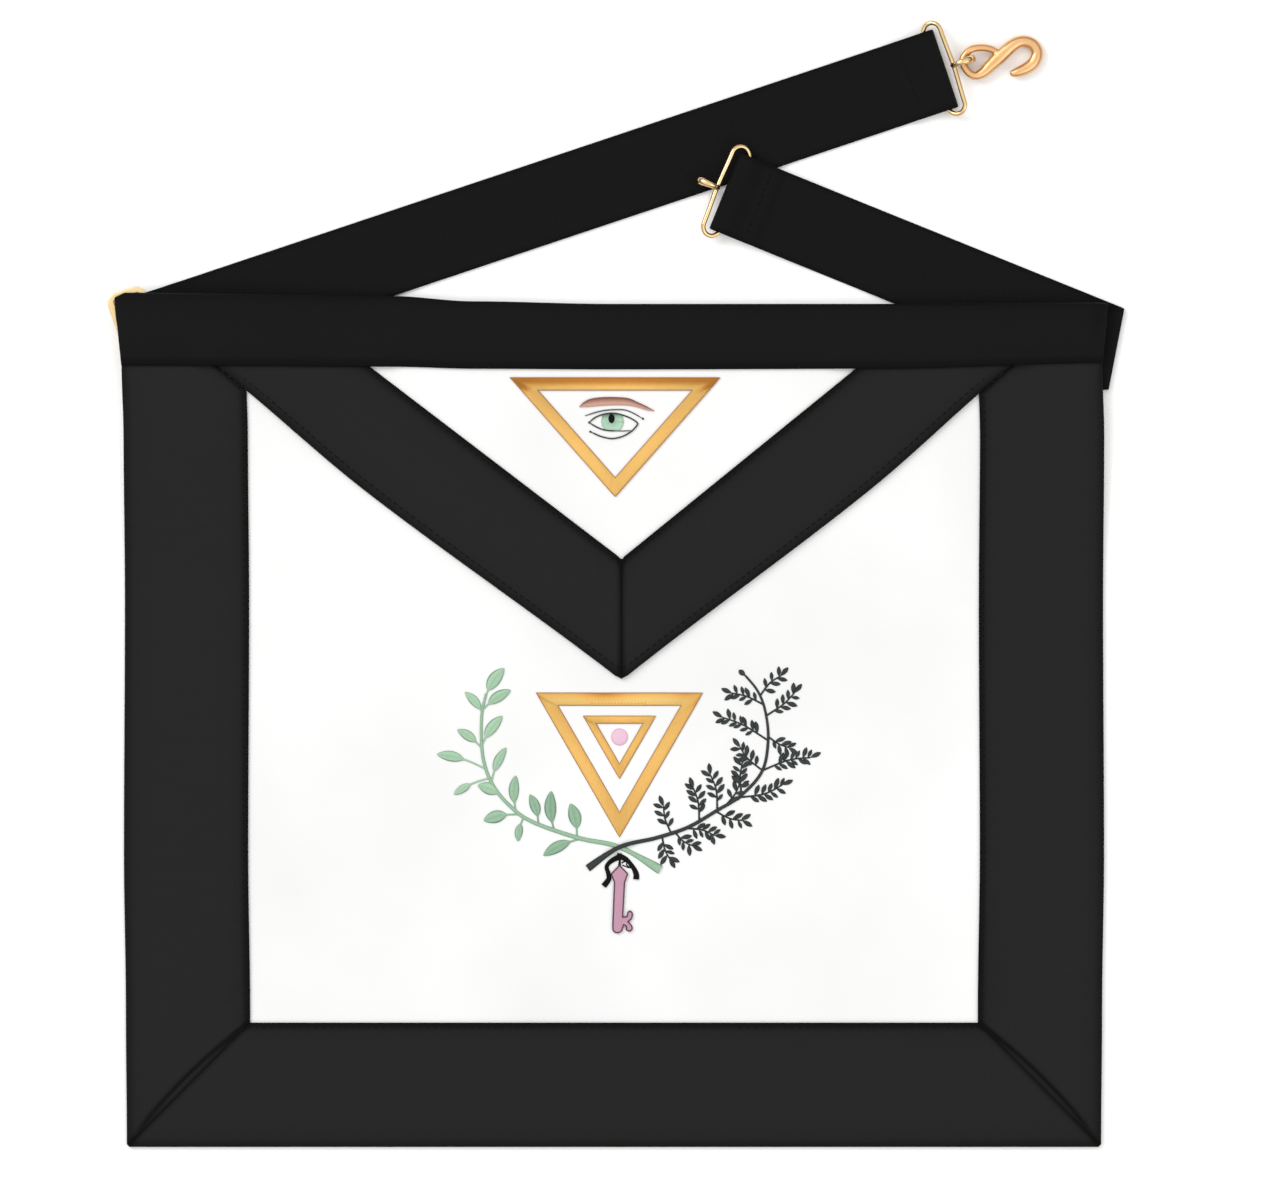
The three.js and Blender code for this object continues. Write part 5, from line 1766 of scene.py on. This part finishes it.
# %% Draw the lids and creases in dark thread
EYE_LINES = [
    dict(width=0.5, tone=0.1, way=[(-12.5, 2.5), (-8.2, 3.9), (-4.0, 4.8), (1.3, 5.1), (4.5, 4.8),
                                    (7.7, 3.5), (11.5, 1.3)]),
    dict(width=0.6, tone=0.5, way=[(-10.8, -0.3), (-8.6, 1.6), (-5.7, 2.9), (-2.9, 3.5), (0.2, 3.5),
                                   (3.4, 2.7), (6.6, 1.4), (9.1, -0.3), (9.15, -1.3), (6.8, -3.9),
                                   (3.4, -5.9), (0.2, -6.8), (-2.3, -6.9), (-6.1, -6.0), (-10.3, -4.1)]),
    dict(width=0.6, tone=0.5, way=[(-10.9, -0.3), (-8.2, -1.9), (-5.7, -3.0), (-2.9, -3.6), (0.6, -3.8)]),
    dict(width=0.4, tone=0.0, way=[(0.4, -3.8), (3.2, -3.8), (6.6, -3.6)]),
]


def stitch_eye_lines():
    pile = Pile()
    for line in EYE_LINES:
        run = even_run([at_eye(*p) for p in spline(line["way"], 12 * len(line["way"]))], 9 * len(line["way"]))
        last = len(run) - 1
        widths = [line["width"] * mix(0.55, 1, smooth(min(i, last - i) / 8)) for i in range(last + 1)]
        satin(pile, beside(run, widths), FLAP_MOTIF, 0.35, lambda share, x, y: line["tone"])
    for x, y in [(-10.8, -0.3), (-10.3, -4.1), (11.5, 1.3)]:
        dome(pile, at_eye(x, y), lambda angle: 0.45, FLAP_MOTIF, 0.4, lambda *place: 0.6)
    make_piece("eye_lines", pile, line_thread)


stitch_eye_lines()

# %% [markdown]
# ## The disc in the lower triangle
#
# A small pale pink disc sits inside the smaller triangle. It is the same low dome as the iris.

# %% Stitch the disc
def stitch_disc():
    low, high = box_of("inner_disc")
    pile = Pile()
    radius = (high.x - low.x) / 2
    dome(pile, ((low.x + high.x) / 2, (low.y + high.y) / 2), lambda angle: radius, PANEL_MOTIF, 0.7,
         lambda x, y, share, angle: 0.1 + 0.5 * smooth((share - 0.85) / 0.15))
    make_piece("pink_disc", pile, pale_pink_thread, stands_for=["inner_disc"])


stitch_disc()

# %% [markdown]
# ## The laurel branch
#
# The left branch is laurel: a stem that starts at its cut end, crosses the other stem and curves up
# to its tip, with sixteen broad pointed leaves on short stalks. Each leaf has its own place along
# the stem, heading, stalk and blade, listed in a short table, because no two are alike.

# %% Draw the stem of a branch
WREATH_AT = (2.3, -50.9)
WREATH_REACH = 63.0
LAUREL_WAY = [
    dict(along=0.27, up=-0.15),
    dict(along=0.0, up=0.0),
    dict(along=-0.27, up=0.06),
    dict(along=-0.56, up=0.16),
    dict(along=-0.7, up=0.25),
    dict(along=-0.83, up=0.4),
    dict(along=-0.9, up=0.59),
    dict(along=-0.91, up=0.85),
    dict(along=-0.88, up=1.01),
]


def branch_run(way, count=120):
    """Even plan points along a stem whose table is in shares of the wreath's reach."""
    fine = spline([tuple(row.values()) for row in way], 240)
    run = [(WREATH_AT[0] + a * WREATH_REACH, WREATH_AT[1] + u * WREATH_REACH) for a, u in fine]
    return even_run(run, count)


def stem_width(share, lower, upper, cut):
    """Width along a stem: flared at its cut end, then tapering slowly to its tip."""
    return mix(lower, upper, share) + (cut - lower) * (1 - smooth(share / 0.12))


laurel_run = branch_run(LAUREL_WAY)
print("laurel stem:", round(sum(math.dist(a, b) for a, b in zip(laurel_run, laurel_run[1:]))), "mm")

# %% Shape a laurel leaf
LAUREL_LEAVES = [
    dict(at=0.99, heading=56, stalk=2.5, blade=11.5, width=5.3),
    dict(at=0.93, heading=130, stalk=1.5, blade=9.6, width=3.8),
    dict(at=0.94, heading=35, stalk=3.5, blade=11.0, width=4.5),
    dict(at=0.82, heading=55, stalk=3.6, blade=11.6, width=4.6),
    dict(at=0.81, heading=143, stalk=3.6, blade=9.2, width=4.1),
    dict(at=0.73, heading=163, stalk=10.0, blade=11.4, width=4.4),
    dict(at=0.7, heading=205, stalk=8.0, blade=8.3, width=3.3),
    dict(at=0.68, heading=67, stalk=4.6, blade=11.2, width=3.8),
    dict(at=0.63, heading=157, stalk=0.8, blade=8.9, width=5.0),
    dict(at=0.55, heading=90, stalk=3.6, blade=11.4, width=4.3),
    dict(at=0.53, heading=190, stalk=5.4, blade=9.8, width=5.2),
    dict(at=0.52, heading=257, stalk=2.8, blade=7.6, width=3.3),
    dict(at=0.46, heading=106, stalk=3.4, blade=9.6, width=4.3),
    dict(at=0.4, heading=94, stalk=3.4, blade=13.0, width=5.0),
    dict(at=0.32, heading=101, stalk=3.8, blade=10.6, width=5.3),
    dict(at=0.3, heading=204, stalk=4.8, blade=12.6, width=4.7),
]
STALK_WIDTH = 0.75
LEAF_TIP = 0.12
LEAF_ROWS = 26
LAUREL_SWAY = 0.06


def leaf_width(share, width):
    """Full width of a blade by its share from the stalk: broad, with a point at its tip."""
    return max(LEAF_TIP, width * math.sin(math.pi * share**0.9) ** 0.72)


def laurel_leaf(pile, start, heading, stalk, blade, width, tone):
    angle = math.radians(heading)
    sway = LAUREL_SWAY * (stalk + blade) * (1 if heading < 95 else -1)
    points = []
    widths = []
    for t in shares(LEAF_ROWS):
        out = t * (stalk + blade)
        aside = sway * math.sin(math.pi * t)
        points.append((start[0] + out * math.cos(angle) - aside * math.sin(angle),
                       start[1] + out * math.sin(angle) + aside * math.cos(angle)))
        on_blade = (out - stalk) / blade
        full = leaf_width(on_blade, width) if on_blade > 0 else LEAF_TIP
        widths.append(max(STALK_WIDTH * (1 - smooth(on_blade * 3)), full))

    def shade(share, x, y):
        border = smooth((abs(2 * share - 1) - 0.72) / 0.28)
        vein = 0.18 * bump(2 * share - 1, 0.12)
        return min(1, tone + border * (0.95 if share < 0.5 else 0.5) + vein)

    satin(pile, beside(points, widths), PANEL_MOTIF, 0.75, shade)


print("a leaf is widest", round(leaf_width(0.45, 5), 1), "mm of 5")

# %% Stitch the laurel
def stitch_laurel():
    random.seed(7)
    pile = Pile()
    last = len(laurel_run) - 1
    widths = [stem_width(i / last, lower=2.1, upper=1.1, cut=3.9) for i in range(last + 1)]
    satin(pile, beside(laurel_run, widths), PANEL_MOTIF, 0.7,
          lambda share, x, y: 0.3 + 0.35 * smooth((abs(2 * share - 1) - 0.6) / 0.4))
    for leaf in LAUREL_LEAVES:
        start = laurel_run[round(leaf["at"] * last)]
        low_on_stem = smooth((0.7 - leaf["at"]) / 0.3)
        tone = 0.05 + 0.3 * low_on_stem + 0.12 * random.random()
        laurel_leaf(pile, start, leaf["heading"], leaf["stalk"], leaf["blade"], leaf["width"], tone)
    make_piece("laurel", pile, green_thread, stands_for=["laurel_branch"])


stitch_laurel()

# %% [markdown]
# ## The olive branch
#
# The right branch is olive: a darker stem that passes over the laurel where they cross, with seventeen
# bent twigs. A twig carries small drop-shaped leaves in pairs and ends in one more, so a loop makes
# them, and a seeded draw keeps them from being all alike.

# %% Shape an olive twig
OLIVE_WAY = [
    dict(along=-0.21, up=-0.14),
    dict(along=0.0, up=0.0),
    dict(along=0.24, up=0.06),
    dict(along=0.45, up=0.13),
    dict(along=0.64, up=0.24),
    dict(along=0.8, up=0.34),
    dict(along=0.94, up=0.5),
    dict(along=0.98, up=0.71),
    dict(along=0.96, up=0.9),
    dict(along=0.91, up=1.03),
    dict(along=0.83, up=1.13),
]
OLIVE_TWIGS = [
    dict(at=0.92, heading=44, length=0.21),
    dict(at=0.85, heading=39, length=0.27),
    dict(at=0.89, heading=160, length=0.25),
    dict(at=0.77, heading=153, length=0.38),
    dict(at=0.78, heading=-28, length=0.17),
    dict(at=0.67, heading=15, length=0.37),
    dict(at=0.67, heading=134, length=0.24),
    dict(at=0.56, heading=89, length=0.23),
    dict(at=0.55, heading=16, length=0.34),
    dict(at=0.47, heading=101, length=0.27),
    dict(at=0.46, heading=-19, length=0.21),
    dict(at=0.4, heading=100, length=0.25),
    dict(at=0.35, heading=-14, length=0.22),
    dict(at=0.3, heading=106, length=0.21),
    dict(at=0.27, heading=-72, length=0.17),
    dict(at=0.31, heading=-38, length=0.16),
    dict(at=0.5, heading=58, length=0.2),
]
TWIG_WIDTH = 0.85
TWIG_STEPS = 20
OLIVE_LEAF = 4.9
OLIVE_LEAF_WIDTH = 1.95
OLIVE_LEAF_SPACING = 0.8 * OLIVE_LEAF


def olive_leaf(pile, start, heading, length, width):
    """A drop: narrow where it joins the twig, broad and round near its end."""
    angle = math.radians(heading)
    points = []
    widths = []
    for t in shares(12):
        points.append((start[0] + t * length * math.cos(angle), start[1] + t * length * math.sin(angle)))
        widths.append(max(0.35, width * math.sin(math.pi * t**1.25) ** 0.75))
    tone = random.uniform(0.1, 0.35)
    satin(pile, beside(points, widths), PANEL_MOTIF, 0.55,
          lambda share, x, y: tone + 0.6 * smooth((abs(2 * share - 1) - 0.55) / 0.45))


def olive_twig(pile, start, heading, length):
    bend = random.choice((-1, 1)) * random.uniform(5, 9)

    def out(share, swing):
        angle = math.radians(heading + swing)
        return start[0] + length * share * math.cos(angle), start[1] + length * share * math.sin(angle)

    run = even_run(spline([out(0, 0), out(0.5, bend), out(0.88, 0)], 24), TWIG_STEPS)
    satin(pile, beside(run, [mix(TWIG_WIDTH, 0.6, t) for t in shares(TWIG_STEPS)]), PANEL_MOTIF, 0.5,
          lambda share, x, y: 0.35)
    pairs = max(2, round(length / OLIVE_LEAF_SPACING))
    for i in range(pairs):
        place = mix(0.28, 0.92, i / (pairs - 1))
        for side in (-1, 1):
            at = run[min(TWIG_STEPS - 1, max(1, round((place + side * 0.05) * TWIG_STEPS)))]
            turn = side * random.uniform(42, 56)
            size = random.uniform(0.75, 1.05)
            olive_leaf(pile, at, heading + turn, OLIVE_LEAF * size, OLIVE_LEAF_WIDTH * size)
    olive_leaf(pile, run[-1], heading + random.uniform(-12, 12), OLIVE_LEAF, OLIVE_LEAF_WIDTH)


print("twigs:", len(OLIVE_TWIGS))

# %% Stitch the olive
CROSSING_REACH = 9.0
CROSSING_HEIGHT = 0.75


def stitch_olive():
    random.seed(11)
    pile = Pile()
    run = branch_run(OLIVE_WAY, 160)
    last = len(run) - 1
    widths = [stem_width(i / last, lower=1.9, upper=0.95, cut=3.1) for i in range(last + 1)]

    def relief(x, y, share):
        away = math.dist((x, y), WREATH_AT)
        tone = 0.2 + 0.5 * smooth((abs(2 * share - 1) - 0.55) / 0.45)
        return CROSSING_HEIGHT * smooth((CROSSING_REACH - away) / CROSSING_REACH * 1.6), tone

    pairs = beside(run, widths)
    lay(pile, pairs, [satin_section(math.dist(*pair), PANEL_MOTIF, 0.7) for pair in pairs], relief)
    for twig in OLIVE_TWIGS:
        olive_twig(pile, run[round(twig["at"] * last)], twig["heading"], twig["length"] * WREATH_REACH)
    olive_leaf(pile, run[-1], 140, 3.6, 2.3)
    make_piece("olive", pile, olive_thread, stands_for=["olive_branch"])


stitch_olive()

# %% [markdown]
# ## The tied ribbon and the key
#
# A short black ribbon is tied under the crossing, with two loose tails, and a pink key hangs from
# it. The key is a flat outline, so a filled curve makes it: smooth handles where its bit curls and
# sharp ones at the corners of its bow. Its border is a darker couched cord.

# %% Stitch the tied ribbon
KNOT_AT = (WREATH_AT[0], WREATH_AT[1] - 3.6)
TAILS = [
    dict(width=2.2, way=[(1.2, 0.1), (-3.0, -1.9), (-5.3, -4.4), (-4.6, -7.6), (-4.5, -9.8), (-6.6, -12.6)]),
    dict(width=2.3, way=[(-1.2, 0.1), (2.6, -1.4), (5.6, -4.8), (6.9, -7.6), (6.9, -9.8)]),
    dict(width=1.1, way=[(0.1, 0.4), (0.1, -2.0), (0.0, -4.2)]),
    dict(width=0.6, way=[(0.9, -3.0), (2.0, -2.4), (3.0, -2.7), (2.9, -3.8), (4.3, -5.0)]),
    dict(width=0.55, way=[(1.2, -3.9), (2.4, -4.4), (3.6, -4.9), (5.6, -4.9)]),
]


TAIL_STEPS = 34


def stitch_tails():
    pile = Pile()
    for i, tail in enumerate(TAILS):
        points = [(KNOT_AT[0] + x, KNOT_AT[1] + y) for x, y in tail["way"]]
        run = even_run(spline(points, 60), TAIL_STEPS)
        widths = [tail["width"] * mix(0.8, 1.1, smooth(abs(2 * t - 1))) for t in shares(TAIL_STEPS)]
        satin(pile, beside(run, widths), PANEL_MOTIF, 0.75 - 0.06 * i)
    make_piece("tied_ribbon", pile, black_thread, stands_for=["ribbon_tails"])


stitch_tails()

# %% Stitch the key
key_low, key_high = box_of("emblem_key")
KEY_TOP = (WREATH_AT[0], key_high.y)
KEY_SIZE = key_high.y - key_low.y
KEY_SHAPE = [
    dict(along=0.0, down=0.0, round=False),
    dict(along=-0.122, down=0.125, round=False),
    dict(along=-0.075, down=0.25, round=False),
    dict(along=-0.1, down=0.9, round=False),
    dict(along=-0.09, down=0.97, round=True),
    dict(along=-0.035, down=1.0, round=True),
    dict(along=0.025, down=0.975, round=True),
    dict(along=0.045, down=0.93, round=False),
    dict(along=0.06, down=0.88, round=False),
    dict(along=0.1, down=0.9, round=True),
    dict(along=0.105, down=0.955, round=True),
    dict(along=0.145, down=0.975, round=True),
    dict(along=0.185, down=0.945, round=True),
    dict(along=0.175, down=0.89, round=True),
    dict(along=0.125, down=0.835, round=False),
    dict(along=0.175, down=0.79, round=True),
    dict(along=0.19, down=0.72, round=True),
    dict(along=0.165, down=0.68, round=True),
    dict(along=0.125, down=0.695, round=True),
    dict(along=0.11, down=0.755, round=True),
    dict(along=0.045, down=0.765, round=False),
    dict(along=0.075, down=0.25, round=False),
    dict(along=0.122, down=0.125, round=False),
]
KEY_SOFT = 0.3
KEY_THICK = 1.1
KEY_INSET = 0.15


def key_corners():
    return [(KEY_TOP[0] + row["along"] * KEY_SIZE, KEY_TOP[1] - row["down"] * KEY_SIZE)
            for row in KEY_SHAPE]


def key_curve():
    curve = plate_curve("key_curve", KEY_THICK, KEY_SOFT, KEY_INSET)
    outline = curve.splines.new("BEZIER")
    outline.bezier_points.add(len(KEY_SHAPE) - 1)
    outline.use_cyclic_u = True
    outline.resolution_u = 8
    for point, row, (x, y) in zip(outline.bezier_points, KEY_SHAPE, key_corners()):
        point.co = (x * MM, y * MM, 0)
        handle = "AUTO" if row["round"] else "VECTOR"
        point.handle_left_type = handle
        point.handle_right_type = handle
    return curve


def stitch_key():
    mesh = plate_mesh("key", key_curve())
    for point in mesh.vertices:
        x, y = point.co.x / MM, point.co.y / MM
        point.co.z += (lie_height(x, y) + PANEL_MOTIF + KEY_THICK / 2 - SINK) * MM
    threads = mesh.uv_layers.new(name="thread")
    for loop in mesh.loops:
        place = mesh.vertices[loop.vertex_index].co / MM
        threads.data[loop.index].uv = (place.y, place.x)
    place_piece(mesh, pink_thread, "apron", ["emblem_key"])


stitch_key()

# %% Couch the key's border
KEY_BORDER = 0.55


def couch_key():
    """A dark cord along the key's outline, near the top of its rim."""
    corners = key_corners()
    pile = Pile()
    sharp = [i for i, row in enumerate(KEY_SHAPE) if not row["round"]] + [len(KEY_SHAPE)]
    for a, b in zip(sharp, sharp[1:]):
        way = [corners[i % len(corners)] for i in range(a, b + 1)]
        cord(pile, spline(way, 8 * (b - a)), KEY_BORDER, PANEL_MOTIF + KEY_THICK - SINK)
    make_piece("key_outline", pile, mauve_thread)


mauve_thread = thread_finish("key_outline_thread",
                             [(0.0, (0.12, 0.05, 0.08)), (1.0, (0.05, 0.02, 0.03))], 0.5)
couch_key()

# %% [markdown]
# ## Topstitching
#
# Every ribbon is sewn down by machine, two millimetres inside its edge. Black stitches on black
# ribbon are hard to see from above, but from close by they are what says *sewn*. Each stitch is a
# small bead of thread whose ends dive into the cloth, and each seam is one mesh of them.

# %% Sew rows of stitches
STITCH_PITCH = 3.1
STITCH_LENGTH = 2.3
STITCH_THREAD = 0.42
STITCH_ARCH = 0.3
STITCH_DIVE = 0.22
OUTER_SEW_IN = 3.2
SEAM_END = 3


def one_stitch(pile, place):
    """A bead of thread, thin at its ends. place gives a point by (share of its length, rise)."""
    points = []
    sizes = []
    for t in (0.0, 0.12, 0.35, 0.65, 0.88, 1.0):
        arch = math.sin(math.pi * t) ** 0.6 if 0 < t < 1 else 0.0
        points.append(place(t, STITCH_ARCH * arch))
        thick = STITCH_THREAD * (0.6 if t in (0.0, 1.0) else 1.0)
        sizes.append((thick, thick))
    tube(pile, points, sizes, (0, 0, 1), 6)


def sew(pile, run, height):
    """Stitches along plan points; height gives the level of the cloth's face at a place."""
    length = sum(math.dist(a, b) for a, b in zip(run, run[1:]))
    marks = even_run(run, max(1, round(length / STITCH_PITCH)))
    share = STITCH_LENGTH / STITCH_PITCH
    for a, b in zip(marks, marks[1:]):
        def place(t, rise):
            x, y = mix_point(a, b, mix((1 - share) / 2, (1 + share) / 2, t))
            return x, y, height(x, y) + rise - STITCH_DIVE

        one_stitch(pile, place)


def seam_run(pairs, width, inner_gap=None, outer_gap=None):
    """Plan points of a seam at a distance from a ribbon's inner or outer edge."""
    share = 1 - inner_gap / width if inner_gap is not None else outer_gap / width
    return [mix_point(a, b, share) for a, b in pairs]


def face_height(level):
    return lambda x, y: lie_height(x, y) + level + RIBBON_THICK - SEW_DIP * 0.8


def sew_bindings():
    pile = Pile()
    for side in ("left", "right"):
        run = [p for p in seam_run(side_seams[side], BINDING_WIDTH, SEW_IN) if p[1] < WAIST_LINE - SEAM_END]
        sew(pile, run, face_height(ON_PANEL))
    sew(pile, seam_run(bottom_seam, BINDING_WIDTH, SEW_IN), face_height(ON_PANEL))
    make_piece("binding_stitches", pile, black_thread)


def sew_flap():
    pile = Pile()
    for side in ("left", "right"):
        for gap in (dict(inner_gap=SEW_IN), dict(outer_gap=OUTER_SEW_IN)):
            seam = seam_run(flap_seams[side], FLAP_RIBBON, **gap)
            run = [p for p in seam if p[1] < WAIST_LINE - SEAM_END]
            rise = PUFF * smooth(OUTER_SEW_IN / PUFF_EASE) + SEW_DIP if "outer_gap" in gap else 0
            sew(pile, run, lambda x, y: face_height(ON_FLAP)(x, y) + rise * under_waistband(y))
    make_piece("flap_stitches", pile, black_thread)


def sew_waistband():
    pile = Pile()
    run = seam_run(waist_seam, WAIST_HEIGHT, SEW_IN)[3:-3]
    sew(pile, run, lambda x, y: face_height(ON_RIBBON)(x, y) + waistband_climb(x, y))
    make_piece("waistband_stitches", pile, black_thread)


sew_bindings()
sew_flap()
sew_waistband()

# %% Sew the belt's loops
LOOP_SEAM_IN = 1.5
LOOP_SEAM_MARGIN = 2.5
LOOP_DIVE = 0.2


def sew_loop(pile, place, along, top):
    """One row of stitches across the webbing, just inside the end of the lower ply."""
    half = WEB_WIDTH / 2 - LOOP_SEAM_MARGIN
    for i in range(round(2 * half / STITCH_PITCH)):
        def on_belt(t, rise):
            across = -half + STITCH_PITCH * (i + 0.13 + t * STITCH_LENGTH / STITCH_PITCH)
            return place(along, across, top + rise - LOOP_DIVE)

        one_stitch(pile, on_belt)


def sew_belts():
    pile = Pile()
    face = PLY + WEB_THICK
    back = RING_FOLD + LOOP_RETURN - LOOP_SEAM_IN
    sew_loop(pile, left_place, LEFT_LENGTH - back, face)
    sew_loop(pile, right_place, RIGHT_LENGTH - back, face + PLY)
    make_piece("belt_stitches", pile, black_thread)


sew_belts()

# %% [markdown]
# ## Check and hand over
# The dressed apron may stand a little proud of its solids but not be another size. The last line
# prints how many pieces were made and about how many triangles they hold.

# %% Count the pieces
print("pieces:", len(pieces), "triangles:", sum(len(p.data.polygons) for p in pieces.values()) * 2)
